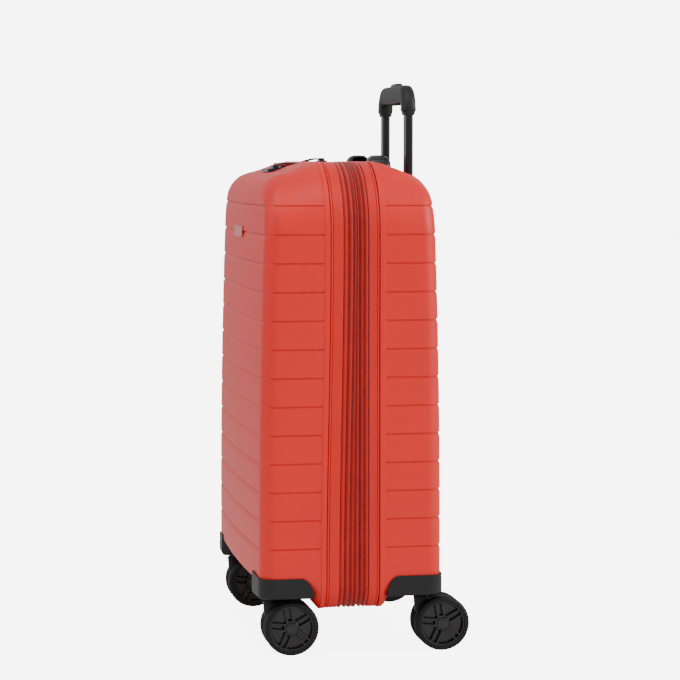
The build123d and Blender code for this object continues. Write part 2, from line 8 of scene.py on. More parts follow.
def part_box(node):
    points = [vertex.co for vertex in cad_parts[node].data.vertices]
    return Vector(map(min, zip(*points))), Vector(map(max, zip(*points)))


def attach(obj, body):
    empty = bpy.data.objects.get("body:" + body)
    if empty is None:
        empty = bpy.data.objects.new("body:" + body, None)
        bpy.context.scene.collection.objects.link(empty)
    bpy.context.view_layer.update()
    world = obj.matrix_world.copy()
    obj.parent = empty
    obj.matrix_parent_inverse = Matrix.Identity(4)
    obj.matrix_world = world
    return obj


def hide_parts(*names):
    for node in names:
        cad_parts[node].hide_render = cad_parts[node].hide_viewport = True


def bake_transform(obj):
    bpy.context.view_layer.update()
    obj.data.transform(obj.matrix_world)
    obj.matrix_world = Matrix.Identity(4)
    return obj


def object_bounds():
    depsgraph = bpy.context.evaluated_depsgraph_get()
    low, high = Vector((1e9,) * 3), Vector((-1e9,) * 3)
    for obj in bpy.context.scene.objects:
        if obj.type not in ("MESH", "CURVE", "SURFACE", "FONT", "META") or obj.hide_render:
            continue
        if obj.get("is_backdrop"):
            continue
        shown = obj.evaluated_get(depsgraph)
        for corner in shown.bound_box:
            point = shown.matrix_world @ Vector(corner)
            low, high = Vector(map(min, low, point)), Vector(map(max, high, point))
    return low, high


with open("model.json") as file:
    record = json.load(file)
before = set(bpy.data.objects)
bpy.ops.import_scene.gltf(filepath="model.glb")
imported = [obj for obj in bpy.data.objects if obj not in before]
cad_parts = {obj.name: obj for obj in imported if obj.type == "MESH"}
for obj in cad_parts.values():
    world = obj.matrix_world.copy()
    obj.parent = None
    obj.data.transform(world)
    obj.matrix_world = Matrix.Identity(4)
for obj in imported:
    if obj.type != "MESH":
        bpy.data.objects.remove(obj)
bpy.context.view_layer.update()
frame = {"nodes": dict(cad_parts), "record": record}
nodes = frame["nodes"]
print("frame loaded:", len(nodes), "nodes")


halves = {-1: "front_half", 1: "back_half"}


# ---- small helpers
def mix(a, b, t):
    return a + (b - a) * t


def smooth(low, high, v):
    t = min(max((v - low) / (high - low), 0.0), 1.0)
    return t * t * (3 - 2 * t)


def linked(name, mesh):
    obj = bpy.data.objects.new(name, mesh)
    bpy.context.scene.collection.objects.link(obj)
    return obj


def finishMesh(obj, smoothAngle=35):
    mesh = obj.data
    mesh.polygons.foreach_set("use_smooth", [True] * len(mesh.polygons))
    mesh.set_sharp_from_angle(angle=math.radians(smoothAngle))
    mesh.update()


def objectFromBmesh(name, bm, smoothAngle=35):
    mesh = bpy.data.meshes.new(name)
    bm.to_mesh(mesh)
    bm.free()
    obj = linked(name, mesh)
    finishMesh(obj, smoothAngle)
    return obj


def bakeModifiers(obj, smoothAngle=35):
    bpy.context.view_layer.update()
    graph = bpy.context.evaluated_depsgraph_get()
    mesh = bpy.data.meshes.new_from_object(obj.evaluated_get(graph))
    obj.modifiers.clear()
    obj.data = mesh
    finishMesh(obj, smoothAngle)
    return obj


def runNodes(obj, tree, values, smoothAngle):
    # sets the named inputs of a node group and bakes its result
    modifier = obj.modifiers.new("nodes", "NODES")
    modifier.node_group = tree
    for item in tree.interface.items_tree:
        if item.item_type == "SOCKET" and item.in_out == "INPUT" and item.name in values:
            modifier[item.identifier] = values[item.name]
    return bakeModifiers(obj, smoothAngle)


def thicken(obj, thickness, smoothAngle, offset=-1):
    wall = obj.modifiers.new("wall", "SOLIDIFY")
    wall.thickness = thickness
    wall.offset = offset
    return bakeModifiers(obj, smoothAngle)


def skinGrid(bm, grid, closed=True):
    # quads between neighbouring rows of points
    made = [[bm.verts.new(p) for p in row] for row in grid]
    for a, b in zip(made, made[1:]):
        for i in range(len(a) if closed else len(a) - 1):
            j = (i + 1) % len(a)
            bm.faces.new((a[i], a[j], b[j], b[i]))
    return made


def place(obj, material, body, slot, *replaced):
    obj.data.materials.clear()
    obj.data.materials.append(material)
    if body:
        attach(obj, body)
    if replaced:
        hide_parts(*replaced)
    return obj


# ---- materials
def newMaterial(name, color, roughness, metallic=0.0, specular=0.5):
    material = bpy.data.materials.new(name)
    material.use_nodes = True
    tree = material.node_tree
    shader = tree.nodes["Principled BSDF"]
    shader.inputs["Base Color"].default_value = (*color, 1)
    shader.inputs["Roughness"].default_value = roughness
    shader.inputs["Metallic"].default_value = metallic
    shader.inputs["Specular IOR Level"].default_value = specular
    return material, tree, shader


def addNode(tree, kind, **values):
    node = tree.nodes.new(kind)
    for key, value in values.items():
        if hasattr(node, key) and key not in ("Scale", "Strength", "Distance"):
            setattr(node, key, value)
        else:
            node.inputs[key.replace("_", " ")].default_value = value
    return node


def objectCoords(tree, scale=(1, 1, 1)):
    coords = tree.nodes.new("ShaderNodeTexCoord")
    mapping = tree.nodes.new("ShaderNodeMapping")
    mapping.inputs["Scale"].default_value = scale
    tree.links.new(coords.outputs["Object"], mapping.inputs["Vector"])
    return mapping.outputs["Vector"]


def noiseOf(tree, vector, scale, detail=3.0, rough=0.5):
    node = addNode(tree, "ShaderNodeTexNoise", Scale=scale)
    node.inputs["Detail"].default_value = detail
    node.inputs["Roughness"].default_value = rough
    tree.links.new(vector, node.inputs["Vector"])
    return node.outputs["Fac"]


def rampOf(tree, factor, stops):
    node = tree.nodes.new("ShaderNodeValToRGB")
    ramp = node.color_ramp
    while len(ramp.elements) < len(stops):
        ramp.elements.new(0.5)
    for element, (spot, color) in zip(ramp.elements, stops):
        element.position = spot
        element.color = (*color, 1)
    tree.links.new(factor, node.inputs["Fac"])
    return node.outputs["Color"]


def rangeOf(tree, factor, low, high):
    node = tree.nodes.new("ShaderNodeMapRange")
    node.inputs["To Min"].default_value = low
    node.inputs["To Max"].default_value = high
    tree.links.new(factor, node.inputs["Value"])
    return node.outputs["Result"]


def mathOf(tree, operation, a, b):
    node = tree.nodes.new("ShaderNodeMath")
    node.operation = operation
    for socket, value in zip(node.inputs, (a, b)):
        if isinstance(value, (int, float)):
            socket.default_value = value
        else:
            tree.links.new(value, socket)
    return node.outputs[0]


def bumpOf(tree, height, strength, distance, under=None):
    node = tree.nodes.new("ShaderNodeBump")
    node.inputs["Strength"].default_value = strength
    node.inputs["Distance"].default_value = distance
    tree.links.new(height, node.inputs["Height"])
    if under is not None:
        tree.links.new(under, node.inputs["Normal"])
    return node.outputs["Normal"]


def shade(color, amount):
    return tuple(min(max(c * amount, 0), 1) for c in color)


def mouldedPlastic(name, color, roughness, grain=900.0, grainDepth=0.00006, specular=0.5, spread=0.05):
    # moulded plastic: fine spark-eroded grain over a slow change of tone
    material, tree, shader = newMaterial(name, color, roughness, specular=specular)
    vector = objectCoords(tree)
    slow = noiseOf(tree, vector, 9.0, 3)
    fine = noiseOf(tree, vector, grain, 2, 0.6)
    tone = mathOf(tree, "ADD", mathOf(tree, "MULTIPLY", slow, 0.7), mathOf(tree, "MULTIPLY", fine, 0.3))
    base = rampOf(tree, tone, [(0.3, shade(color, 1 - spread)), (0.7, shade(color, 1 + spread))])
    tree.links.new(base, shader.inputs["Base Color"])
    tree.links.new(rangeOf(tree, fine, roughness - 0.05, roughness + 0.07), shader.inputs["Roughness"])
    tree.links.new(bumpOf(tree, fine, 0.35, grainDepth), shader.inputs["Normal"])
    return material


def wovenCloth(name, color, roughness, thread=0.0006, axes=("X", "Z"), sheen=0.3):
    # plain weave from two crossed wave patterns
    material, tree, shader = newMaterial(name, color, roughness, specular=0.25)
    shader.inputs["Sheen Weight"].default_value = sheen
    shader.inputs["Sheen Roughness"].default_value = 0.4
    vector = objectCoords(tree)
    waves = []
    for axis in axes:
        wave = tree.nodes.new("ShaderNodeTexWave")
        wave.bands_direction = axis
        wave.inputs["Scale"].default_value = 1 / thread / 20 * math.pi
        wave.inputs["Distortion"].default_value = 0.6
        wave.inputs["Detail"].default_value = 1.0
        tree.links.new(vector, wave.inputs["Vector"])
        waves.append(wave.outputs["Fac"])
    weave = mathOf(tree, "MULTIPLY", waves[0], waves[1])
    slow = noiseOf(tree, vector, 60.0, 3)
    tone = mathOf(tree, "ADD", mathOf(tree, "MULTIPLY", weave, 0.6), mathOf(tree, "MULTIPLY", slow, 0.4))
    base = rampOf(tree, tone, [(0.15, shade(color, 0.72)), (0.8, shade(color, 1.18))])
    tree.links.new(base, shader.inputs["Base Color"])
    tree.links.new(bumpOf(tree, weave, 0.5, 0.00018), shader.inputs["Normal"])
    return material


def brushedMetal(name, color, roughness, along=(400, 400, 8)):
    material, tree, shader = newMaterial(name, color, roughness, metallic=1.0)
    vector = objectCoords(tree, along)
    streak = noiseOf(tree, vector, 3.0, 3)
    tree.links.new(rangeOf(tree, streak, roughness - 0.08, roughness + 0.1), shader.inputs["Roughness"])
    base = rampOf(tree, streak, [(0.3, shade(color, 0.85)), (0.7, shade(color, 1.15))])
    tree.links.new(base, shader.inputs["Base Color"])
    tree.links.new(bumpOf(tree, streak, 0.12, 0.00002), shader.inputs["Normal"])
    return material


coral = (0.66, 0.011, 0.007)
shellRed = mouldedPlastic("shellRed", coral, 0.42, grain=1100, grainDepth=0.00005, specular=0.38)
rimRed = mouldedPlastic("rimRed", (0.63, 0.010, 0.006), 0.40, grain=700, grainDepth=0.00003, specular=0.38)
zipRed = wovenCloth("zipRed", (0.50, 0.011, 0.008), 0.62, axes=("Y", "Z"))
gussetRed = wovenCloth("gussetRed", (0.40, 0.008, 0.006), 0.8, axes=("Y", "Z"))
blackGrain = mouldedPlastic("blackGrain", (0.006, 0.006, 0.0065), 0.46, specular=0.32, grain=800, spread=0.2)
blackGloss = mouldedPlastic("blackGloss", (0.004, 0.004, 0.0045), 0.26, grain=500, grainDepth=0.00002,
                            spread=0.2)
blackSoft = mouldedPlastic("blackSoft", (0.005, 0.005, 0.005), 0.55, specular=0.3, grain=1500, spread=0.2)
dialGrey = mouldedPlastic("dialGrey", (0.10, 0.10, 0.11), 0.35, spread=0.1)
treadBlack = mouldedPlastic("treadBlack", (0.0035, 0.0035, 0.004), 0.55, specular=0.25, grain=600,
                            grainDepth=0.0001, spread=0.25)
tubeBlack = brushedMetal("tubeBlack", (0.035, 0.035, 0.037), 0.30)
steelBright = brushedMetal("steelBright", (0.5, 0.5, 0.52), 0.25, (8, 400, 400))
zincBlack = mouldedPlastic("zincBlack", (0.02, 0.02, 0.022), 0.28, grain=400, spread=0.2)
liningCloth = wovenCloth("liningCloth", (0.045, 0.045, 0.05), 0.7)
webbingBlack = wovenCloth("webbingBlack", (0.02, 0.02, 0.022), 0.6, thread=0.0012)
badgeWhite = mouldedPlastic("badgeWhite", (0.75, 0.75, 0.75), 0.4, grain=300, spread=0.03)
# badge: painted reflection, the red of the surrounding shell painted into its colour in place of bare metal
badgePaintedReflection = mouldedPlastic("badgePaintedReflection", (0.52, 0.035, 0.028), 0.22, grain=300, spread=0.08)
print("materials made")

# the badge metal slot takes the painted red reflection colour
cadFinish = {
    "lining_fabric": liningCloth, "strap_webbing": webbingBlack, "black_plastic": blackGrain,
    "gloss_black": blackGloss, "soft_black": blackSoft, "dial_grey": dialGrey, "black_tube": tubeBlack,
    "black_metal": zincBlack, "steel": steelBright, "wheel": treadBlack, "badge_metal": badgePaintedReflection,
    "shell": shellRed, "rim_trim": rimRed, "zip_tape": zipRed, "gusset_fabric": gussetRed}
for entry in frame["record"]["subparts"]:
    node = nodes[entry["node"]]
    node.data.materials.clear()
    node.data.materials.append(cadFinish[entry["material_slot"]])

# ---- case form, shared by shells, rims, guards and tray
frontBox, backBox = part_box("front_shell"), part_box("back_shell")
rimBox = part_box("front_rim")
caseForm = {
    "halfWidth": rimBox[1].x, "rimLow": rimBox[0].z, "rimHigh": rimBox[1].z,
    "stepLow": 0.014, "stepHigh": 0.010,  # rims stand this far beyond the shells
    "shellTopRadius": 0.068, "shellBottomRadius": 0.024, "rimTopRadius": 0.075, "rimBottomRadius": 0.028,
    "frontReach": -frontBox[0].y, "backReach": backBox[1].y, "frontEdge": -frontBox[1].y,
            "backEdge": backBox[0].y,
    "bow": 0.0055, "barrel": 0.009, "barrelRise": 0.057,
    "sideRound": 0.0165, "topRoundDrop": 0.043, "topPower": 3.4, "bottomRoundDrop": 0.024, "bottomPower": 2.1,
    "flareTop": 0.040, "flareLow": 0.013, "beadWidth": 0.006, "beadRise": 0.0007,
    "wellX": 0.105, "wellY": 0.0415, "wellTop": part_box("corner_guard_front_right")[0].z + 0.0049,
}
caseForm["shellLow"] = caseForm["rimLow"] + caseForm["stepLow"]
caseForm["shellHigh"] = caseForm["rimHigh"] - caseForm["stepHigh"]
outlineSteps = (14, 10, 70, 24, 14)


def roundedOutline(low, high, topRadius, bottomRadius, inset=0.0, steps=outlineSteps):
    # closed front view outline with outward normals, starting in the middle of the bottom
    w = caseForm["halfWidth"] - inset
    low, high = low + inset, high - inset
    top, bottom = max(topRadius - inset, 0.004), max(bottomRadius - inset, 0.004)
    half = []
    for i in range(steps[0]):
        half.append(((w - bottom) * i / steps[0], low, 0.0, -1.0))
    for i in range(steps[1]):
        a = math.radians(90 * i / steps[1] - 90)
        half.append((w - bottom + bottom * math.cos(a), low + bottom + bottom * math.sin(a), math.cos(a),
                     math.sin(a)))
    for i in range(steps[2]):
        half.append((w, mix(low + bottom, high - top, i / steps[2]), 1.0, 0.0))
    for i in range(steps[3]):
        a = math.radians(90 * i / steps[3])
        half.append((w - top + top * math.cos(a), high - top + top * math.sin(a), math.cos(a), math.sin(a)))
    for i in range(steps[4] + 1):
        half.append(((w - top) * (1 - i / steps[4]), high, 0.0, 1.0))
    return half + [(-x, z, -nx, nz) for x, z, nx, nz in reversed(half[1:-1])]


def shellOutline(inset=0.0):
    c = caseForm
    return roundedOutline(c["shellLow"], c["shellHigh"], c["shellTopRadius"], c["shellBottomRadius"], inset)


def rimOutline(inset=0.0):
    c = caseForm
    return roundedOutline(c["rimLow"], c["rimHigh"], c["rimTopRadius"], c["rimBottomRadius"], inset)


def faceDepth(side, x, z):
    # how far the front (-1) or back (+1) face stands from the middle plane
    c = caseForm
    lean = (z - c["shellLow"] - c["barrelRise"]) / (c["shellHigh"] - c["shellLow"] - c["barrelRise"])
    reach = c["backReach"] if side > 0 else c["frontReach"] - c["bow"] * (x / c["halfWidth"]) ** 2
    flat = reach - c["barrel"] * lean * lean
    start = (c["backEdge"] if side > 0 else c["frontEdge"]) + c["beadWidth"] + 0.0005
    up = min(max((z - c["shellHigh"] + c["topRoundDrop"]) / c["topRoundDrop"], 0.0), 1.0)
    down = min(max((c["shellLow"] + c["bottomRoundDrop"] - z) / c["bottomRoundDrop"], 0.0), 1.0)
    kept = (1 - up ** c["topPower"]) ** (1 / c["topPower"])
    kept *= (1 - down ** c["bottomPower"]) ** (1 / c["bottomPower"])
    return start + (flat - start) * kept


def shellSurface(side, grow=0.0, bead=True):
    # the outer skin of one half as an open bmesh; grow moves it outwards
    c = caseForm
    shell, rim = shellOutline(), rimOutline()
    core = roundedOutline(c["shellLow"], c["shellHigh"], 0.090, 0.075, 0.062)
    edge = c["backEdge"] if side > 0 else c["frontEdge"]
    firstFree = edge + c["beadWidth"]
    rows = []
    for (sx, sz, nx, nz), (rx, rz, _, _), (cx, cz, _, _) in zip(shell, rim, core):
        roundness = c["sideRound"] * (1 - smooth(0.86, 0.995, abs(nz)))
        bendY = max(faceDepth(side, sx, sz) - roundness, firstFree + 0.0004)
        spots = []  # x, z before the flare, y, outward x, y, z
        lift = c["beadRise"] if bead else 0.0
        for y, raised in ((edge, 0), (edge + 0.0007, 1), (firstFree - 0.0007, 1), (firstFree, 0)):
            spots.append((sx + nx * lift * raised, sz + nz * lift * raised, y, nx, 0.0, nz))
        for k in range(1, 9):
            spots.append((sx, sz, mix(firstFree, bendY, k / 8), nx, 0.0, nz))
        for k in range(1, 13):
            a = math.radians(90 * k / 12)
            inset = c["sideRound"] * (1 - math.cos(a))
            x, z = sx - nx * inset, sz - nz * inset
            y = max(faceDepth(side, x, z) - roundness * (1 - math.sin(a)), bendY)
            spots.append((x, z, y, nx * math.cos(a), math.sin(a), nz * math.cos(a)))
        ex, ez = sx - nx * c["sideRound"], sz - nz * c["sideRound"]
        for k in range(1, 11):
            x, z = mix(ex, cx, k / 10), mix(ez, cz, k / 10)
            spots.append((x, z, faceDepth(side, x, z), 0.0, 1.0, 0.0))
        tx, tz = 0.0, min(max(cz, 0.18), 0.43)
        for k in range(1, 11):
            x, z = mix(cx, tx, k / 10), mix(cz, tz, k / 10)
            spots.append((x, z, faceDepth(side, x, z), 0.0, 1.0, 0.0))
        row = []
        for x, z, y, ox, oy, oz in spots:
            span = mix(c["flareLow"], c["flareTop"], smooth(0.2, 0.4, sz))
            flare = 1 - smooth(0, 1, (y - edge - c["beadWidth"] * 0.8) / span)
            x, z = x + (rx - sx) * flare, z + (rz - sz) * flare
            row.append((x + ox * grow, side * (y + oy * grow), z + oz * grow))
        rows.append(row)
    bm = bmesh.new()
    grid = [[bm.verts.new(p) for p in row] for row in rows]
    for i, a in enumerate(grid):
        b = grid[(i + 1) % len(grid)]
        for k in range(len(a) - 1):
            quad = (a[k], b[k], b[k + 1], a[k + 1])
            bm.faces.new(quad if side > 0 else quad[::-1])
    bmesh.ops.remove_doubles(bm, verts=bm.verts, dist=0.00003)
    bmesh.ops.dissolve_degenerate(bm, edges=bm.edges, dist=0.00002)
    bmesh.ops.recalc_face_normals(bm, faces=bm.faces)
    middle = max(bm.faces, key=lambda f: side * f.calc_center_median().y)
    if middle.normal.y * side < 0:
        bmesh.ops.reverse_faces(bm, faces=bm.faces)
    return bm


def cutPlane(bm, point, normal, keepIf=None, clearOuter=False):
    faces = [f for f in bm.faces if keepIf is None or keepIf(f.calc_center_median())]
    edges = {e for f in faces for e in f.edges}
    verts = {v for f in faces for v in f.verts}
    return bmesh.ops.bisect_plane(bm, geom=[*verts, *edges, *faces], plane_co=point, plane_no=normal,
                                  dist=0.00002,
                                  clear_outer=clearOuter)


def cutAndCap(bm, point, normal):
    # cuts away what lies beyond the plane and closes the cut
    cut = cutPlane(bm, point, normal, clearOuter=True)["geom_cut"]
    edges = [e for e in cut if isinstance(e, bmesh.types.BMEdge) and e.is_boundary]
    bmesh.ops.holes_fill(bm, edges=edges, sides=0)


def deleteWithin(bm, low, high):
    gone = [f for f in bm.faces if all(a - 0.00005 <= p <= b + 0.00005 for a, p,
                                       b in zip(low, f.calc_center_median(), high))]
    bmesh.ops.delete(bm, geom=gone, context="FACES")


def raiseWells(bm, side):
    c = caseForm

    def near(p):
        return p.z < 0.095 and abs(p.y) > 0.03 and abs(p.x) > 0.09
    for x in (c["wellX"], c["wellX"] + 0.003):
        for sx in (-1, 1):
            cutPlane(bm, (sx * x, 0, 0), (1, 0, 0), near)
    for y in (c["wellY"], c["wellY"] + 0.003):
        cutPlane(bm, (0, side * y, 0), (0, 1, 0), near)
    cutPlane(bm, (0, 0, c["wellTop"]), (0, 0, 1), near)
    for v in bm.verts:
        w = smooth(c["wellX"], c["wellX"] + 0.003, abs(v.co.x))
        w *= smooth(c["wellY"], c["wellY"] + 0.003, abs(v.co.y))
        if v.co.z < c["wellTop"]:
            v.co.z += w * (c["wellTop"] - v.co.z)


grooves = {"count": 13, "pitch": 0.0318, "rise": 0.0568, "depth": 0.0016, "lip": 0.0012,
           "sideWidth": 0.0020, "faceWidth": 0.0054}


def cutGrooves(bm, side):
    # thin lines on the sides, wide bands with a sharp upper lip on the face
    g, c = grooves, caseForm
    first = c["shellLow"] + g["rise"]
    flatFrom = (c["frontEdge"] if side < 0 else c["backEdge"]) + c["beadWidth"] + 0.0005
    levels = [g["lip"], g["lip"] - 0.0004, g["lip"] - g["sideWidth"] + 0.0004, g["lip"] - g["sideWidth"],
              g["lip"] - g["faceWidth"]]
    cutPlane(bm, (0, side * flatFrom, 0), (0, 1, 0))
    cutPlane(bm, (0, side * (flatFrom + 0.001), 0), (0, 1, 0))
    for i in range(g["count"]):
        centre = first + i * g["pitch"]
        for level in levels:
            cutPlane(bm, (0, 0, centre + level), (0, 0, 1), lambda p: abs(p.z - centre) < 0.02)
    bm.normal_update()
    moves = []
    for v in bm.verts:
        i = round((v.co.z - first) / g["pitch"])
        if not 0 <= i < g["count"] or abs(v.co.y) < flatFrom + 0.0005:
            continue
        d = v.co.z - (first + i * g["pitch"])
        if d >= g["lip"] - 0.0001 or d <= g["lip"] - g["faceWidth"] + 0.0001:
            continue
        facing = smooth(0.80, 0.985, abs(v.normal.y))
        bandLow = g["lip"] - g["faceWidth"]
        wide = g["depth"] * (d - bandLow) / (g["lip"] - 0.0004 - bandLow)
        narrow = g["depth"] * 0.75 if d > g["lip"] - g["sideWidth"] + 0.0002 else 0.0
        if side < 0:  # the front's lines stop short of its rounded corners
            narrow *= smooth(0.62, 0.30, abs(v.normal.y))
        moves.append((v, v.normal * -mix(narrow, wide, facing)))
    for v, move in moves:
        v.co += move


def buildShell(side):
    bm = shellSurface(side)
    raiseWells(bm, side)
    if side < 0:
        lockLow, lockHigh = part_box("lock_body")
        xs, ys = (lockLow.x + 0.003, lockHigh.x - 0.003), (lockLow.y + 0.009, lockHigh.y - 0.003)

        def nearLock(p):
            return p.z > caseForm["shellHigh"] - 0.02 and abs(p.x) < 0.05
        for x in xs:
            cutPlane(bm, (x, 0, 0), (1, 0, 0), nearLock)
        for y in ys:
            cutPlane(bm, (0, y, 0), (0, 1, 0), nearLock)
        deleteWithin(bm, (xs[0], ys[0], 0.5), (xs[1], ys[1], 1))
    else:
        trayLow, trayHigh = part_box("trolley_tray")

        def nearTray(p):
            return p.z > trayLow.z - 0.02 and abs(p.x) < trayHigh.x + 0.03 and p.y > 0.05
        for x in (trayLow.x, trayHigh.x):
            cutPlane(bm, (x, 0, 0), (1, 0, 0), nearTray)
        cutPlane(bm, (0, trayLow.y, 0), (0, 1, 0), nearTray)
        cutPlane(bm, (0, 0, trayLow.z), (0, 0, 1), nearTray)
        deleteWithin(bm, (trayLow.x, trayLow.y, trayLow.z), (trayHigh.x, 1, 1))
    cutGrooves(bm, side)
    obj = objectFromBmesh("frontShell" if side < 0 else "backShell", bm, 28)
    thicken(obj, 0.002, 28)
    return place(obj, shellRed, halves[side], "shell", "front_shell" if side < 0 else "back_shell")


frontShell, backShell = buildShell(-1), buildShell(1)
print("shells built:", len(frontShell.data.polygons), len(backShell.data.polygons))


# ---- corner guards: a boxy skin over each bottom corner, with the plate and swivel socket under it
guard = {"proud": 0.0018, "thick": 0.0016, "corner": 0.016, "height": 0.0232, "endRound": 0.015,
         "faceEnd": 0.131,
         "faceRise": 0.003, "lowRound": 0.0035}


def buildGuard(sx, side, placeName):
    # walls follow the plan outline straight up; the plate closes them underneath
    c, g = caseForm, guard
    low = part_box("corner_guard_" + placeName)[0].z + 0.0022
    level = low + g["height"]
    sideX = c["halfWidth"] + g["proud"]
    r = g["corner"]
    faceAt = faceDepth(side, sideX - r, level) + g["proud"]
    plan = []  # x, y, outward x, outward y, level of the top edge

    def faceTop(x):
        t = smooth(0.165, g["faceEnd"], x)
        top = level + g["faceRise"] * t
        return mix(top, low + 0.0045, smooth(g["faceEnd"], g["faceEnd"] - 0.009, x))
    for k in range(25):
        x = mix(c["wellX"], sideX - r, k / 24)
        out = smooth(g["faceEnd"] - 0.010, g["faceEnd"] - 0.001, x)
        y = mix(faceDepth(side, x, low + 0.0035), faceDepth(side, x, level), out) + g["proud"]
        plan.append((x, y, 0.0, 1.0, faceTop(x)))
    for k in range(1, 12):
        a = math.radians(90 - 90 * k / 12)
        plan.append((sideX - r + r * math.cos(a), faceAt - r + r * math.sin(a), math.cos(a), math.sin(a),
                     level))
    for k in range(31):
        y = mix(faceAt - r, c["wellY"], (k / 30) ** 0.8)
        toEnd = max(g["endRound"] - (y - c["wellY"]), 0) / g["endRound"]
        fall = 1 - math.sqrt(max(1 - toEnd ** 2.2, 0))
        plan.append((sideX, y, 1.0, 0.0, level - (level - low - 0.0005) * fall))
    bm = bmesh.new()
    rows = []
    for x, y, nx, ny, top in plan:
        row = [(x, y, max(top, low + 0.0004))] * 5
        if top > low + g["lowRound"]:
            row = [(x, y, mix(top, low + g["lowRound"], k / 4)) for k in range(5)]
        for k in range(1, 5):
            a = math.radians(90 * k / 4)
            inset = g["lowRound"] * (1 - math.cos(a))
            z = min(low + g["lowRound"] * (1 - math.sin(a)), row[4][2])
            row.append((x - nx * inset, y - ny * inset, z))
        px, py = row[-1][0], row[-1][1]
        row.append((mix(px, mix(c["wellX"], 0.15, 0.5), 0.5), mix(py, mix(c["wellY"], 0.09, 0.4), 0.5), low))
        row.append((mix(c["wellX"], 0.15, 0.5), mix(c["wellY"], 0.09, 0.4), low))
        rows.append([bm.verts.new((sx * a, side * b, z)) for a, b, z in row])
    corner = bm.verts.new((sx * c["wellX"], side * c["wellY"], low))
    for a, b in zip(rows, rows[1:]):
        for k in range(len(a) - 1):
            bm.faces.new((a[k], b[k], b[k + 1], a[k + 1]))
    for row in (rows[0], rows[-1]):
        bm.faces.new((row[-3], row[-2], row[-1], corner))
    bmesh.ops.remove_doubles(bm, verts=bm.verts, dist=0.0001)
    bmesh.ops.dissolve_degenerate(bm, edges=bm.edges, dist=0.0001)
    bmesh.ops.recalc_face_normals(bm, faces=bm.faces)
    under = min(bm.faces, key=lambda f: (f.calc_center_median()
                                         - Vector((sx * 0.12, side * 0.06, low))).length)
    if under.normal.z > 0:
        bmesh.ops.reverse_faces(bm, faces=bm.faces)
    obj = objectFromBmesh("guard_" + placeName, bm, 35)
    return thicken(obj, g["thick"], 35)


def lathe(name, profile, axis, centre, steps=40, smoothAngle=35, closed=False):
    # profile: (along the axis, radius); closed profiles are rings, open ones end on the axis
    verts, faces = [], []
    for i in range(steps):
        a = 2 * math.pi * i / steps
        for along, radius in profile:
            u, v = radius * math.cos(a), radius * math.sin(a)
            p = {"X": (along, u, v), "Y": (v, along, u), "Z": (u, v, along)}[axis]
            verts.append(Vector(p) + Vector(centre))
    n = len(profile)
    for i in range(steps):
        j = (i + 1) % steps
        for k in range(n if closed else n - 1):
            m = (k + 1) % n
            faces.append((i * n + k, j * n + k, j * n + m, i * n + m))
    bm = bmesh.new()
    made = [bm.verts.new(p) for p in verts]
    for f in faces:
        bm.faces.new([made[i] for i in f])
    bmesh.ops.remove_doubles(bm, verts=bm.verts, dist=0.000005)
    bmesh.ops.dissolve_degenerate(bm, edges=bm.edges, dist=0.000004)
    bmesh.ops.recalc_face_normals(bm, faces=bm.faces)
    return objectFromBmesh(name, bm, smoothAngle)


def joinMeshes(name, objects, smoothAngle=35):
    bm = bmesh.new()
    for obj in objects:
        bm.from_mesh(obj.data)
        bpy.data.objects.remove(obj)
    return objectFromBmesh(name, bm, smoothAngle)


def softBox(name, low, high, radius, segments=3):
    # a box with rounded edges
    low, high = Vector(low), Vector(high)
    bm = bmesh.new()
    bmesh.ops.create_cube(bm, size=1)
    for v in bm.verts:
        v.co = Vector(mix(a, b, t + 0.5) for a, b, t in zip(low, high, v.co))
    bmesh.ops.bevel(bm, geom=bm.edges[:], offset=radius, segments=segments, profile=0.5, affect="EDGES",
                    clamp_overlap=True)
    bmesh.ops.recalc_face_normals(bm, faces=bm.faces)
    return objectFromBmesh(name, bm, 40)


def loft(name, sections, smoothAngle=40, capped=True, closedPath=False):
    # skins matching closed sections in order
    bm = bmesh.new()
    rings = skinGrid(bm, sections)
    if closedPath:
        a, b = rings[-1], rings[0]
        for i in range(len(a)):
            j = (i + 1) % len(a)
            bm.faces.new((a[i], a[j], b[j], b[i]))
    if capped and not closedPath:
        bm.faces.new(rings[0][::-1])
        bm.faces.new(rings[-1])
    bmesh.ops.recalc_face_normals(bm, faces=bm.faces)
    return objectFromBmesh(name, bm, smoothAngle)


def powerPoint(angle, powerU, powerV):
    # a point of a squared-off circle
    u, v = math.cos(angle), math.sin(angle)
    return math.copysign(abs(u) ** powerU, u), math.copysign(abs(v) ** powerV, v)


def roundSection(centre, across, up, halfWidth, halfHeight, power=3.0, count=28):
    # a superellipse in the plane of two directions
    points = []
    for i in range(count):
        u, v = powerPoint(2 * math.pi * i / count, 2 / power, 2 / power)
        points.append(Vector(centre) + Vector(across) * u * halfWidth + Vector(up) * v * halfHeight)
    return points


corners = {"front_left": (-1, -1), "front_right": (1, -1), "back_left": (-1, 1), "back_right": (1, 1)}
for placeName, (sx, side) in corners.items():
    node = "corner_guard_" + placeName
    skin = buildGuard(sx, side, placeName)
    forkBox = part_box("caster_fork_" + placeName)
    stemX = (forkBox[0].x + forkBox[1].x) / 2
    stemY = forkBox[0].y + 0.0085
    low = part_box(node)[0].z
    socket = lathe("socket", [(low + 0.004, 0.0), (low + 0.004, 0.0128), (low + 0.0008, 0.0128),
                              (low, 0.0120),
                              (low, 0.0075), (low + 0.0006, 0.0070), (low + 0.002, 0.0070),
                              (low + 0.002, 0.0)],
                   "Z", (stemX, stemY, 0), 36)
    place(joinMeshes("cornerGuard_" + placeName, [skin, socket]), blackGrain, halves[side], "black_plastic",
          node)
print("guards built")


# ---- casters: a beveled fork, a swivel head and two spoked wheels each
wheelForm = {"tyre": 0.0062, "hubRadius": 0.0072, "spokes": 5, "spokeGap": 0.0034, "spokeWidth": 0.0024}


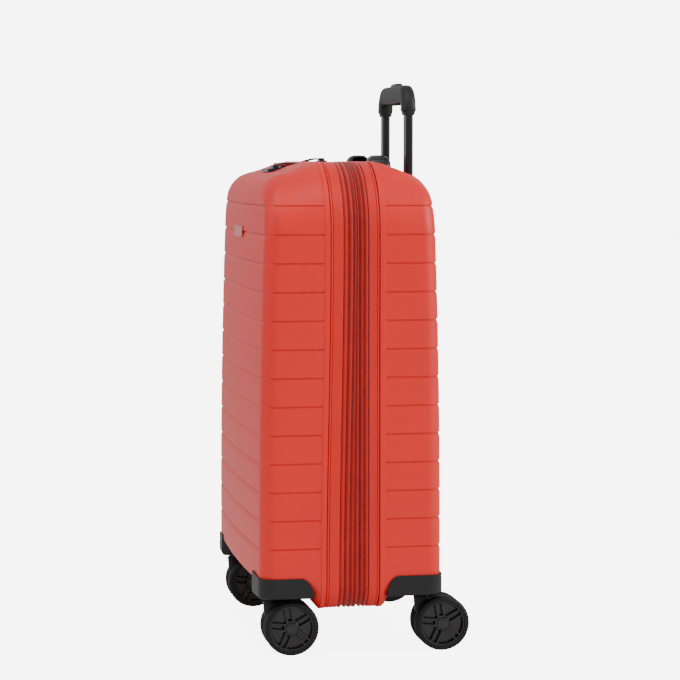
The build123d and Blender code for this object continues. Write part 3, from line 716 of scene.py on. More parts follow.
def buildFork(placeName):
    low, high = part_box("caster_fork_" + placeName)
    wheelLow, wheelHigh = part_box("wheel_" + placeName + "_outer")
    cx, sy = (low.x + high.x) / 2, low.y + 0.0085
    axleY, axleZ = (wheelLow.y + wheelHigh.y) / 2, (wheelLow.z + wheelHigh.z) / 2
    neck = high.z - 0.0077
    side = [(sy - 0.0078, neck), (sy + 0.0080, neck), (sy + 0.0130, neck - 0.004),
            (axleY + 0.004, axleZ + 0.0125),
            (axleY + 0.009, axleZ + 0.006), (axleY + 0.0095, axleZ - 0.002), (axleY + 0.005, axleZ - 0.0085),
            (axleY - 0.003, axleZ - 0.0098), (axleY - 0.010, axleZ - 0.0060), (sy - 0.001, axleZ + 0.003),
            (sy - 0.0065, axleZ + 0.012)]
    sections = [[(cx + x, mix(sum(p[0] for p in side) / len(side), y, k),
                  mix(sum(p[1] for p in side) / len(side), z, k))
                 for y, z in side] for x, k in ((-0.0040, 0.93), (-0.0032, 1.0), (0.0032, 1.0),
                                                (0.0040, 0.93))]
    web = loft("web", sections, 50)
    head = lathe("head", [(neck - 0.0016, 0.0), (neck - 0.0016, 0.0070), (neck - 0.0006, 0.0084),
                          (neck + 0.0004, 0.0085),
                          (neck + 0.0008, 0.0080), (neck + 0.0010, 0.0060), (neck + 0.0074, 0.0058),
                          (neck + 0.0074, 0.0)],
                 "Z", (cx, sy, 0), 36)
    place(joinMeshes("fork_" + placeName, [web, head]), blackGrain, "caster_" + placeName, "black_plastic",
          "caster_fork_" + placeName)


def buildWheel(placeName, which):
    w = wheelForm
    node = "wheel_" + placeName + "_" + which
    low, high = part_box(node)
    centre = (low + high) / 2
    radius = (high.z - low.z) / 2
    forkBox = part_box("caster_fork_" + placeName)
    out = 1 if centre.x > (forkBox[0].x + forkBox[1].x) / 2 else -1
    half = (high.x - low.x) / 2

    def side(points):
        return [(out * a, r) for a, r in points]
    inner = radius - w["tyre"]
    tyre = lathe("tyre", side([
        (half - 0.0008, inner), (half, inner + 0.0008), (half, radius - 0.0034),
                               (half - 0.0006, radius - 0.0018),
        (half - 0.0020, radius - 0.0005), (half - 0.0036, radius), (0.0012, radius),
                               (0.0009, radius - 0.0008),
        (-0.0009, radius - 0.0008), (-0.0012, radius), (-half + 0.0036, radius),
                               (-half + 0.0020, radius - 0.0005),
        (-half + 0.0006, radius - 0.0018), (-half, radius - 0.0034), (-half, inner + 0.0008),
                               (-half + 0.0008, inner)]),
        "X", centre, 64, 35, closed=True)
    place(tyre, treadBlack, "roller_%s_%s" % (placeName, which), "wheel", node)
    web = half - 0.0068
    dish = lathe("dish", side([
        (half - 0.0013, inner + 0.0006), (half - 0.0013, inner - 0.0012), (half - 0.0022, inner - 0.0018),
                               (web, inner - 0.0024),
        (web, w["hubRadius"] + 0.0032), (half - 0.0030, w["hubRadius"] + 0.0018),
                               (half - 0.0024, w["hubRadius"] + 0.0010),
        (half - 0.0024, w["hubRadius"] - 0.0002), (half - 0.0014, w["hubRadius"] - 0.0008),
                               (half - 0.0008, 0.0035),
        (half - 0.0006, 0.0)]), "X", centre, 64)
    backDish = lathe("backDish", side([
        (half - 0.0013, inner + 0.0006), (-half + 0.0016, inner + 0.0006), (-half + 0.0016, inner - 0.002),
                                       (-half + 0.004, inner - 0.003),
        (-half + 0.004, w["hubRadius"] + 0.002), (-half + 0.0005, w["hubRadius"]), (-half + 0.0005, 0.0030),
                                       (-half + 0.003, 0.0028),
        (-half + 0.003, 0.0)]), "X", centre, 64)
    pieces = [dish, backDish]
    for i in range(w["spokes"]):
        for pair in (-1, 1):
            bar = softBox("bar", (-0.0022, -w["spokeWidth"] / 2, w["hubRadius"] - 0.0006),
                          (0.0022, w["spokeWidth"] / 2, inner - 0.0008), 0.0007, 2)
            shift = Matrix.Translation((out * (half - 0.0038), pair * w["spokeGap"], 0))
            turn = Matrix.Rotation(2 * math.pi * i / w["spokes"] + 0.2, 4, "X")
            bar.data.transform(Matrix.Translation(centre) @ turn @ shift)
            pieces.append(bar)
    hub = joinMeshes("hub_%s_%s" % (placeName, which), pieces)
    tyre.name = "tyre_%s_%s" % (placeName, which)
    place(hub, blackGloss, "roller_%s_%s" % (placeName, which), "wheel")


for placeName in corners:
    buildFork(placeName)
    for which in ("inner", "outer"):
        buildWheel(placeName, which)
print("casters built")


# ---- rims and zips: profiles carried round the case
def sweepRing(name, profile, smoothAngle=35):
    # profile: (y, outwards, base); base 0 hangs on the rim outline and 1 on the shell outline
    bases = (rimOutline(), shellOutline())
    sections = []
    for i in range(len(bases[0])):
        section = []
        for y, out, base in profile:
            x, z, nx, nz = bases[base][i]
            section.append((x + nx * out, y, z + nz * out))
        sections.append(section)
    return loft(name, sections, smoothAngle, closedPath=True)


def crowned(y0, y1, crown, dip, count=7):
    # a rounded ridge between two valleys
    points = []
    for k in range(count):
        t = k / (count - 1)
        points.append((mix(y0, y1, t), -dip + (crown + dip) * math.sin(math.pi * t) ** 0.6, 0))
    return points


def innerSide(y0, y1, inset=0.0042):
    return [(y1, -inset, 1), (y0, -inset, 1)]


def ribbed(y0, y1, ribs, depth, level=0.0):
    points = []
    for k in range(ribs):
        a, b = mix(y0, y1, k / ribs), mix(y0, y1, (k + 1) / ribs)
        points += [(mix(a, b, 0.12), level, 0), (mix(a, b, 0.72), level, 0),
                   (mix(a, b, 0.80), level - depth, 0), (mix(a, b, 0.96), level - depth, 0)]
    return points


stack = {name: (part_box(name)[0].y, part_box(name)[1].y) for name in
         ("main_zip_front", "main_zip_back", "mid_frame", "expansion_zip_front", "expansion_zip_back")}
y0, y1 = -caseForm["frontEdge"] + 0.0001, stack["main_zip_front"][0] - 0.0001
frontRim = sweepRing("frontRim", [(y0, -0.0015, 0)] + crowned(y0 + 0.0004, y0 + 0.0030, 0.0003, 0.0011)
                     + ribbed(y0 + 0.0034, y1 - 0.0006, 6, 0.00022)
                     + [(y1, -0.0009, 0)] + innerSide(y0, y1))
place(frontRim, rimRed, "front_half", "rim_trim", "front_rim")
y0, y1 = stack["expansion_zip_back"][1] + 0.0001, caseForm["backEdge"] - 0.0001
backRim = sweepRing("backRim", [(y0, -0.0009, 0)] + ribbed(y0 + 0.0006, y1 - 0.0034, 6, 0.00022)
                    + crowned(y1 - 0.0030, y1 - 0.0004, 0.0003, 0.0011)
                    + [(y1, -0.0015, 0)] + innerSide(y0, y1))
place(backRim, rimRed, "back_half", "rim_trim", "back_rim")

a, b = stack["main_zip_front"]
place(sweepRing("mainZipFront", [(a, -0.0030, 0)] + crowned(a + 0.0002, b - 0.0009, 0.0002, 0.0020)
                + [(b - 0.0003, -0.0024, 0), (b, -0.0028, 0)] + innerSide(a, b)),
      zipRed, "front_half", "zip_tape", "main_zip_front")
a, b = stack["main_zip_back"]
place(sweepRing("mainZipBack", [(a, -0.0028, 0), (a + 0.0003, -0.0024, 0)]
                + crowned(a + 0.0009, b - 0.0010, 0.0002, 0.0018) + [(b, -0.0026, 0)] + innerSide(a, b)),
      zipRed, "mid_section", "zip_tape", "main_zip_back")
a, b = stack["mid_frame"]
place(sweepRing("midFrame", [(a, -0.0026, 0)] + crowned(a + 0.0001, mix(a, b, 0.42), 0.0003, 0.0018)
                + crowned(mix(a, b, 0.45), b - 0.0014, 0.0002, 0.0016) + [(b - 0.0011, -0.0032, 0)]
                + [(b, -0.0036, 0)] + innerSide(a, b)), gussetRed, "mid_section", "gusset_fabric",
      "mid_frame")
a, b = stack["expansion_zip_front"]
place(sweepRing("expansionZipFront", [(a, -0.0040, 0), (a + 0.0012, -0.0038, 0)]
                + crowned(a + 0.0015, b - 0.0008, 0.0001, 0.0022) + [(b, -0.0028, 0)] + innerSide(a, b)),
      zipRed, "mid_section", "zip_tape", "expansion_zip_front")
a, b = stack["expansion_zip_back"]
place(sweepRing("expansionZipBack", [(a, -0.0028, 0), (a + 0.0003, -0.0024, 0)]
                + crowned(a + 0.0008, b - 0.0006, 0.0002, 0.0020) + [(b, -0.0030, 0)] + innerSide(a, b)),
      zipRed, "back_half", "zip_tape", "expansion_zip_back")
print("rims and zips built")


# ---- geometry nodes: small blocks along a path, for teeth, stitches and grip ribs
def alongPathTree():
    tree = bpy.data.node_groups.new("blocksAlongPath", "GeometryNodeTree")
    face = tree.interface
    face.new_socket("Path", in_out="INPUT", socket_type="NodeSocketGeometry")
    for name, kind, value in (("Pitch", "NodeSocketFloat", 0.002),
                              ("Size", "NodeSocketVector", (0.001, 0.001, 0.001)),
                              ("Up", "NodeSocketVector", (0, 1, 0)), ("Lift", "NodeSocketVector", (0, 0, 0)),
                              ("Finish", "NodeSocketMaterial", None)):
        socket = face.new_socket(name, in_out="INPUT", socket_type=kind)
        if value is not None:
            socket.default_value = value
    face.new_socket("Blocks", in_out="OUTPUT", socket_type="NodeSocketGeometry")
    make, link = tree.nodes.new, tree.links.new
    given, result = make("NodeGroupInput"), make("NodeGroupOutput")
    curve = make("GeometryNodeMeshToCurve")
    resample = make("GeometryNodeResampleCurve")
    resample.mode = "LENGTH"
    cube, shift = make("GeometryNodeMeshCube"), make("GeometryNodeTransform")
    tangent = make("GeometryNodeInputTangent")
    upright, turned = make("FunctionNodeAlignRotationToVector"), make("FunctionNodeAlignRotationToVector")
    upright.axis, turned.axis, turned.pivot_axis = "Z", "X", "Z"
    spread, realize = make("GeometryNodeInstanceOnPoints"), make("GeometryNodeRealizeInstances")
    finish = make("GeometryNodeSetMaterial")
    link(given.outputs["Path"], curve.inputs[0])
    link(curve.outputs[0], resample.inputs["Curve"])
    link(given.outputs["Pitch"], resample.inputs["Length"])
    link(given.outputs["Size"], cube.inputs["Size"])
    link(cube.outputs["Mesh"], shift.inputs["Geometry"])
    link(given.outputs["Lift"], shift.inputs["Translation"])
    link(given.outputs["Up"], upright.inputs["Vector"])
    link(upright.outputs["Rotation"], turned.inputs["Rotation"])
    link(tangent.outputs["Tangent"], turned.inputs["Vector"])
    link(resample.outputs["Curve"], spread.inputs["Points"])
    link(shift.outputs["Geometry"], spread.inputs["Instance"])
    link(turned.outputs["Rotation"], spread.inputs["Rotation"])
    link(spread.outputs["Instances"], realize.inputs["Geometry"])
    link(realize.outputs["Geometry"], finish.inputs["Geometry"])
    link(given.outputs["Finish"], finish.inputs["Material"])
    link(finish.outputs["Geometry"], result.inputs[0])
    return tree


pathTree = alongPathTree()


def blocksAlong(name, points, closed, pitch, size, material, body, slotName, up=(0, 1, 0), lift=(0, 0, 0)):
    mesh = bpy.data.meshes.new(name)
    edges = [(i, i + 1) for i in range(len(points) - 1)] + ([(len(points) - 1, 0)] if closed else [])
    mesh.from_pydata([tuple(p) for p in points], edges, [])
    obj = linked(name, mesh)
    runNodes(obj, pathTree, {"Pitch": pitch, "Size": size, "Up": up, "Lift": lift, "Finish": material}, 30)
    return place(obj, material, body, slotName)


zipTeeth = {"pitch": 0.0016, "size": (0.00095, 0.0009, 0.0013), "drop": 0.0022}


def ringPoints(y, inset):
    return [(x - nx * inset, y, z - nz * inset) for x, z, nx, nz in rimOutline()]


seamY = (stack["main_zip_front"][1] + stack["main_zip_back"][0]) / 2
secondSeamY = (stack["expansion_zip_front"][1] + stack["expansion_zip_back"][0]) / 2
for name, y, body in (("teethMainFront", seamY - 0.0010, "front_half"),
                      ("teethMainBack", seamY + 0.0010, "mid_section"),
                      ("teethExpansionFront", secondSeamY - 0.0010, "mid_section"),
                      ("teethExpansionBack", secondSeamY + 0.0010, "back_half")):
    blocksAlong(name, ringPoints(y, zipTeeth["drop"]), True, zipTeeth["pitch"], zipTeeth["size"], zipRed,
                body, "zip_tape")
print("zip teeth built")

# ---- fabric between the halves: the pleated gusset and the folding hinge
gusset = {"foldDepth": 0.0028, "folds": 4, "thick": 0.0006, "inset": 0.0052}


def buildGusset():
    g = gusset
    low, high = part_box("expansion_gusset")
    y0, y1 = low.y, high.y
    count = 57
    outer, inner = [], []
    for k in range(count):
        t = k / (count - 1)
        wave = g["foldDepth"] * math.sin(2 * math.pi * g["folds"] * t)
        outer.append((mix(y0, y1, t), -g["inset"] - g["foldDepth"] + wave, 1))
        inner.append((mix(y0, y1, t), -g["inset"] - g["foldDepth"] - g["thick"] + wave, 1))
    ring = sweepRing("gusset", outer + inner[::-1], 60)
    place(ring, gussetRed, None, "gusset_fabric", "expansion_gusset")
    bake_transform(ring)


buildGusset()


def buildHinge():
    low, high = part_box("hinge_tape")
    seam = (stack["main_zip_front"][1] + stack["main_zip_back"][0]) / 2
    cordX, radius, tapeX = low.x + 0.0015, 0.0015, high.x
    profile = []
    for k in range(14):
        a = math.radians(20 + 320 * k / 13)
        profile.append((cordX + radius * math.cos(a), seam + radius * math.sin(a)))
    profile += [(tapeX - 0.0002, seam + 0.0003), (tapeX, high.y), (tapeX - 0.0009, high.y - 0.0002),
                (tapeX - 0.0010, seam + 0.0013), (tapeX - 0.002, seam + 0.0012)]
    sections = []
    for k in range(61):
        z = mix(low.z, high.z, k / 60)
        pinch = 1 - 0.06 * (k % 2)
        sections.append([(mix(cordX, x, pinch) if x < tapeX - 0.0015 else x, y, z) for x, y in profile])
    tape = loft("hingeTape", sections, 60)
    place(tape, zipRed, "mid_section", "zip_tape", "hinge_tape")
    blocksAlong("hingeStitches", [(tapeX - 0.0010, high.y - 0.0012, z)
                                  for z in (low.z + 0.004, high.z - 0.004)], False, 0.0034,
                (0.0022, 0.0006, 0.0005), liningCloth, "mid_section", "zip_tape", up=(-1, 0, 0))


buildHinge()
print("gusset and hinge built")

# ---- linings, divider and packing straps
lining = {"gap": 0.0046, "thick": 0.0008, "wrinkle": 0.0006}


def wrinkled(obj, amount, scale):
    for v in obj.data.vertices:
        p = v.co * scale
        v.co += v.normal * amount * (noise.noise(p) + 0.5 * noise.noise(p * 2.3))
    return obj


def buildLining(side):
    g, c = lining, caseForm
    node = "front_lining" if side < 0 else "back_lining"
    low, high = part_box(node)
    edge = -high.y if side < 0 else low.y
    if side < 0:
        bm = shellSurface(side, -g["gap"], bead=False)
        floorLevel = c["wellTop"] + 0.0035

        def near(p):
            return p.z < floorLevel + 0.03
        cutPlane(bm, (0, 0, floorLevel), (0, 0, 1), near)
        for v in bm.verts:
            v.co.z = max(v.co.z, floorLevel)
        cutPlane(bm, (0, side * edge, 0), (0, -side, 0), clearOuter=True)
        obj = objectFromBmesh("lining", bm, 50)
    else:
        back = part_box("back_lining")[1].y
        rings = []
        outline = roundedOutline(low.z, high.z, 0.062, 0.014, 0.0066, (12, 6, 40, 14, 12))
        for y, inset in [(mix(edge, back - 0.008, k / 6), 0.0) for k in range(7)] + \
                [(back - 0.008 * (1 - math.sin(math.radians(a))), 0.008 * (1 - math.cos(math.radians(a))))
                 for a in (25, 50, 70, 90)]:
            rings.append([(x - nx * inset, y, z - nz * inset) for x, z, nx, nz in outline])
        bm = bmesh.new()
        edgeRing = rings[-1]
        middle = (low.z + high.z) / 2
        for k in range(1, 12):
            rings.append([(mix(x, 0.0, k / 12), back, mix(z, middle, k / 12)) for x, _, z in edgeRing])
        bm.faces.new(skinGrid(bm, rings)[-1])
        bmesh.ops.recalc_face_normals(bm, faces=bm.faces)
        obj = objectFromBmesh("lining", bm, 50)
    if side < 0:  # the cloth dips under the lock's case
        lockLow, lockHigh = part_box("lock_body")
        for v in obj.data.vertices:
            pastY = abs(v.co.y - (lockLow.y + lockHigh.y) / 2) - (lockHigh.y - lockLow.y) / 2
            near = smooth(0.018, 0.004, abs(v.co.x) - lockHigh.x) * smooth(0.020, 0.006, pastY)
            if v.co.z > lockLow.z - 0.05:
                v.co.z = mix(v.co.z, min(v.co.z, lockLow.z - 0.0025), near)
    wrinkled(obj, g["wrinkle"], 45)
    thicken(obj, g["thick"], 50)
    obj.name = "frontLining" if side < 0 else "backLining"
    place(obj, liningCloth, halves[side], "lining_fabric", node)


quilt = {"diamond": 0.048, "puff": 0.0005, "teethInset": 0.012, "binding": 0.0016}


def buildDivider():
    # a zipped mesh-backed panel quilted in diamonds, with a bound edge
    low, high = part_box("divider_panel")
    middle = (low.y + high.y) / 2
    outline = roundedOutline(low.z, high.z, 0.058, 0.014, caseForm["halfWidth"] - high.x, (20, 8, 60, 20, 20))
    bm = bmesh.new()
    rings = []
    centreZ = (low.z + high.z) / 2
    steps = 44
    for k in range(steps + 1):
        t = k / steps
        ring = []
        for x, z, nx, nz in outline:
            px, pz = mix(x, 0, t * 0.98), mix(z, centreZ, t * 0.98)
            u, v = (px + pz) / quilt["diamond"], (px - pz) / quilt["diamond"]
            puff = (abs(math.sin(math.pi * u)) * abs(math.sin(math.pi * v))) ** 0.5 * smooth(0.0, 0.06, t)
            ring.append((px, middle - 0.0002 - quilt["puff"] * puff, pz))
        rings.append(ring)
    bm.faces.new(skinGrid(bm, rings)[-1])
    bmesh.ops.recalc_face_normals(bm, faces=bm.faces)
    panel = objectFromBmesh("dividerPanel", bm, 60)
    thicken(panel, 0.0005, 60, 0)
    place(panel, liningCloth, "front_half", "lining_fabric", "divider_panel")
    binding = []
    for x, z, nx, nz in outline:
        section = []
        for k in range(10):
            a = 2 * math.pi * k / 10
            inset = quilt["binding"] * (1 - math.cos(a))
            section.append((x - nx * inset, middle + 0.0010 * math.sin(a), z - nz * inset))
        binding.append(section)
    edge = loft("dividerBinding", binding, 60, closedPath=True)
    place(edge, webbingBlack, "front_half", "strap_webbing")
    inset = quilt["teethInset"]
    blocksAlong("dividerTeeth", [(x - nx * inset, middle + 0.0006, z - nz * inset) for x, z, nx,
                                 nz in outline],
                True, 0.0030, (0.0016, 0.0020, 0.0007), blackGrain, "front_half", "black_plastic")


def buildStrap():
    low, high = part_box("cross_strap")
    y = low.y + 0.00075
    z0, z1 = low.z, high.z
    path = []
    for k in range(81):
        x = mix(low.x + 0.001, high.x - 0.001, k / 80)
        anchor = smooth(abs(high.x) - 0.012, abs(high.x) - 0.002, abs(x))
        path.append((x, mix(y, high.y - 0.0008, anchor) - 0.0004 * math.sin(x * 60) * (1 - anchor)))
    sections = []
    for x, py in path:
        section = []
        for k in range(24):
            u, v = powerPoint(2 * math.pi * k / 24, 0.35, 0.6)
            section.append((x, py + 0.0007 * v, (z0 + z1) / 2 + (z1 - z0) / 2 * u))
        sections.append(section)
    strap = loft("crossStrap", sections, 60)
    place(strap, webbingBlack, "back_half", "strap_webbing", "cross_strap")
    for z in (z0 + 0.002, z1 - 0.002):
        for name, sx in (("strapStitches_%d", -1), ("strapStitchesRight_%d", 1)):
            line = [(x, py - 0.0008, z) for x, py in path if sx * x > 0.03]
            blocksAlong(name % round(z * 1000), line, False, 0.003, (0.0018, 0.0004, 0.0003), dialGrey,
                        "back_half",
                        "strap_webbing", up=(0, 0, 1))


buildLining(-1)
buildLining(1)
buildDivider()
buildStrap()
print("linings, divider and strap built")

# ---- telescopic handle
grip = {"corner": 0.0175, "legWide": 0.0225, "footWide": 0.0216, "barTall": 0.0215, "depth": 0.0164,
        "footDepth": 0.0122, "cuffX": 0.0112, "cuffY": 0.0059, "swell": 0.0012}


def buildGrip():
    g = grip
    low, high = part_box("trolley_grip")
    y = (low.y + high.y) / 2
    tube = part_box("inner_tube_right")
    legX = (tube[0].x + tube[1].x) / 2
    r = g["corner"]
    topLine = high.z - g["barTall"] / 2
    frames = []  # centre x, z, direction across the bar in the XZ plane, half across, half depth, power
    for k in range(9):
        t = k / 8
        depth = mix(g["footDepth"], g["depth"], smooth(0.15, 0.9, t)) / 2
        frames.append((legX + 0.0006 * t, mix(low.z, topLine - r, t), (1, 0),
                       mix(g["footWide"], g["legWide"], t) / 2, depth, 3.4))
    for k in range(1, 11):
        a = math.radians(90 * k / 10)
        frames.append((legX - r * 0.9 * (1 - math.cos(a)), topLine - r + r * math.sin(a),
                       (math.cos(a), math.sin(a)),
                       mix(g["legWide"], g["barTall"], k / 10) / 2, g["depth"] / 2, 3.0))
    for k in range(1, 13):
        x = mix(legX - r * 0.9, 0, k / 12)
        frames.append((x, topLine, (0, 1), g["barTall"] / 2 + g["swell"] * 0.5 * smooth(0, 1, k / 12),
                       g["depth"] / 2, 2.7))
    frames += [(-x, z, (-dx, dz), w, d, p) for x, z, (dx, dz), w, d, p in reversed(frames[:-1])]
    sections = []
    for x, z, (dx, dz), w, d, power in frames:
        section = roundSection((x, y, z), (dx, 0, dz), (0, 1, 0), w, d, power, 32)
        sections.append([Vector((min(max(p.x, low.x), high.x), p.y, min(p.z, high.z))) for p in section])
    body = loft("grip", sections, 50)
    cuffs = []
    for s in (-1, 1):
        cuffs.append(softBox("cuff", (s * legX - g["cuffX"], y - g["cuffY"], low.z + 0.0002),
                             (s * legX + g["cuffX"], y + g["cuffY"], low.z + 0.0030), 0.0012, 3))
    place(joinMeshes("pullGrip", [body] + cuffs, 45), blackGrain, "trolley_handle", "black_plastic",
          "trolley_grip")
    blocksAlong("gripRibs", [(x, y, topLine - g["barTall"] / 2 - g["swell"] * 0.5 + 0.0002)
                             for x in (-0.034, 0.034)], False, 0.0040,
                (0.0016, 0.0100, 0.0010), blackSoft, "trolley_handle", "black_plastic", up=(0, 0, 1))


def buildButton():
    low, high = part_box("trolley_button")
    cx, cy = (low.x + high.x) / 2, (low.y + high.y) / 2
    sections = []
    for z, k in ((low.z, 1.0), (high.z - 0.0030, 1.0), (high.z - 0.0016, 0.97), (high.z - 0.0006, 0.88),
                 (high.z - 0.0001, 0.70), (high.z, 0.45)):
        sections.append(roundSection((cx, cy, z), (1, 0, 0), (0, 1, 0), (high.x - low.x) / 2 * k,
                                     (high.y - low.y) / 2 * k, 2.6, 40))
    place(loft("gripButton", sections, 50), blackGloss, "trolley_press", "gloss_black", "trolley_button")


def buildTubes():
    for side in ("left", "right"):
        for stage in ("outer", "mid", "inner"):
            nodes["%s_tube_%s" % (stage, side)].data.materials[0] = tubeBlack
        low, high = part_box("inner_tube_" + side)
        cx = (low.x + high.x) / 2
        dots = []
        for k in range(3):  # locking pin windows down the drawn stage
            z = low.z + 0.02 + 0.06 * k
            dots.append(softBox("pin", (cx - 0.0025, low.y - 0.0003, z),
                                (cx + 0.0025, low.y + 0.0004, z + 0.005), 0.0002, 2))
        place(joinMeshes("tubePins_" + side, dots), steelBright, "trolley_handle", "steel")


def solidPatch(side, grow, lowCorner, highCorner):
    # the part of the case form inside a box, as a closed block
    bm = shellSurface(side, grow, bead=False)
    bmesh.ops.holes_fill(bm, edges=[e for e in bm.edges if e.is_boundary], sides=0)
    for axis in range(3):
        for corner, sign in ((lowCorner, -1), (highCorner, 1)):
            if abs(corner[axis]) > 0.9:
                continue
            normal = [0, 0, 0]
            normal[axis] = sign
            cutAndCap(bm, corner, normal)
    bmesh.ops.triangulate(bm, faces=[f for f in bm.faces if len(f.verts) > 4])
    bmesh.ops.recalc_face_normals(bm, faces=bm.faces)
    return bm


def subtract(obj, cutters):
    for cutter in cutters:
        modifier = obj.modifiers.new("cut", "BOOLEAN")
        modifier.operation, modifier.solver, modifier.object = "DIFFERENCE", "EXACT", cutter
    bakeModifiers(obj, 40)
    for cutter in cutters:
        bpy.data.objects.remove(cutter)
    return obj


def buildTray():
    low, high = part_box("trolley_tray")
    gripLow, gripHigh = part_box("trolley_grip")
    patch = solidPatch(1, 0.0013, (low.x, low.y, low.z), (high.x, 1, 1))
    tray = objectFromBmesh("handleTray", patch, 35)
    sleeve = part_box("outer_tube_right")
    centre, half = (sleeve[0] + sleeve[1]) / 2, (sleeve[1] - sleeve[0]) / 2
    floorLevel = low.z + 0.013
    notch = softBox("notch", (gripLow.x - 0.0006, gripLow.y - 0.0016, floorLevel),
                    (gripHigh.x + 0.0006, 0.2, 0.7), 0.0012, 2)
    cutters = [notch]
    for s in (-1, 1):
        cx = s * centre.x
        for name, grow, bottom, top in (("bore", 0.0001, low.z - 0.01, floorLevel - 0.0025),
                                        ("mouth", -0.0012, low.z, floorLevel + 0.01)):
            x, y = half.x + grow, half.y + grow
            cutters.append(softBox(name, (cx - x, centre.y - y, bottom), (cx + x, centre.y + y, top), 0.003,
                                   3))
    subtract(tray, cutters)
    place(tray, blackGrain, "back_half", "black_plastic", "trolley_tray")


buildGrip()
buildButton()
buildTubes()
buildTray()
print("pull handle built")

# ---- carry handle: a flexible strap held under two humped brackets
carry = {"hood": 0.0040, "hoodWall": 0.0014, "thick": 0.0040, "wide": 0.0196}


def buildCarryHandle():
    g = carry
    low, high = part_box("carry_grip")
    y = (low.y + high.y) / 2
    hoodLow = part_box("carry_bracket_right")[0]
    endLevel, midLevel = low.z + g["thick"] / 2, high.z - g["thick"] / 2
    sections = []
    for k in range(73):
        x = mix(low.x, high.x, k / 72)
        rise = smooth(hoodLow.x + 0.002, hoodLow.x - 0.016, abs(x))
        z = mix(endLevel, midLevel, rise)
        wide = g["wide"] / 2 * mix(0.86, 1.0, rise)
        rib = 0.00022 * math.cos(2 * math.pi * x / 0.006) * smooth(0.036, 0.030, abs(x))
        sections.append(roundSection((x, y, z), (0, 1, 0), (0, 0, 1), wide, g["thick"] / 2 - 0.0002 + rib,
                                     3.2, 26))
    place(loft("carryStrap", sections, 50), blackSoft, "carry_handle", "soft_black", "carry_grip")


def buildBracket(side, s):
    # a hood that rises from its outer end and opens towards the strap
    node = "carry_bracket_" + side
    low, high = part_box(node)
    inX, outX = (low.x, high.x) if s > 0 else (high.x, low.x)
    y = (low.y + high.y) / 2
    base, top = low.z + 0.001, high.z + carry["hood"]
    halfY = (high.y - low.y) / 2
    rows = []
    shape = [(0.0, 0.90, 0.80), (0.04, 0.94, 0.86), (0.12, 0.99, 0.93), (0.25, 1.0, 1.0), (0.40, 0.99, 1.0),
             (0.55, 0.97, 1.0),
             (0.70, 0.90, 1.0), (0.80, 0.80, 0.98), (0.90, 0.58, 0.90), (0.97, 0.32, 0.74), (1.0, 0.16, 0.60)]
    for t, tall, wide in shape:
        x = mix(inX, outX, t)
        row = []
        for k in range(25):
            u, v = powerPoint(math.pi * k / 24, 0.55, 0.6)
            row.append((x, y + halfY * wide * u, base + (top - base) * tall * max(v, 0)))
        rows.append(row)
    bm = bmesh.new()
    bm.faces.new(skinGrid(bm, rows, False)[-1])
    bmesh.ops.recalc_face_normals(bm, faces=bm.faces)
    highest = max(bm.faces, key=lambda f: f.calc_center_median().z)
    if highest.normal.z < 0:
        bmesh.ops.reverse_faces(bm, faces=bm.faces)
    hood = objectFromBmesh("hood", bm, 45)
    thicken(hood, carry["hoodWall"], 45)
    foot = softBox("foot", (low.x, low.y, low.z), (high.x, high.y, low.z + 0.0022), 0.0009, 2)
    hood = joinMeshes("carryBracket_" + side, [hood, foot], 45)
    place(hood, blackGloss, "back_half", "gloss_black", node)


buildCarryHandle()
buildBracket("left", -1)
buildBracket("right", 1)
print("carry handle built")

# ---- lock dials, zip pulls and screws
dial = {"teeth": 20, "digitSize": 0.0024}


def buildDial(index):
    node = "lock_dial_%d" % index
    low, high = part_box(node)
    centre = (low + high) / 2
    radius = (high.z - low.z) / 2
    half = (high.x - low.x) / 2
    sections = []
    edges = ((0.0, 0.72), (0.0, 0.90), (0.0003, 0.96), (0.0006, 1.0))
    for x, k in [(d - half, k) for d, k in edges] + [(half - d, k) for d, k in reversed(edges)]:
        ring = []
        for i in range(dial["teeth"] * 2):
            a = 2 * math.pi * i / (dial["teeth"] * 2)
            r = radius * k * (1.0 if i % 2 or k < 0.99 else 0.94)
            ring.append((centre.x + x, centre.y + r * math.cos(a), centre.z + r * math.sin(a)))
        sections.append(ring)
    place(loft("dial_%d" % index, sections, 40), dialGrey, "dial_%d" % index, "dial_grey", node)
    digits = []
    for n in range(10):
        curve = bpy.data.curves.new("digit", "FONT")
        curve.body, curve.size, curve.extrude = str(n), dial["digitSize"], 0.00006
        curve.align_x, curve.align_y, curve.resolution_u = "CENTER", "CENTER", 2
        text = linked("digitText", curve)
        bpy.context.view_layer.update()
        mesh = bpy.data.meshes.new_from_object(text.evaluated_get(bpy.context.evaluated_depsgraph_get()))
        bpy.data.objects.remove(text)
        turn = Matrix.Rotation(2 * math.pi * n / 10 + 0.3, 4, "X")
        mesh.transform(Matrix.Translation(centre) @ turn @ Matrix.Translation((0, 0, radius + 0.00002)))
        digits.append(linked("digit", mesh))
    place(joinMeshes("dialDigits_%d" % index, digits, 40), badgeWhite, "dial_%d" % index, "dial_grey")


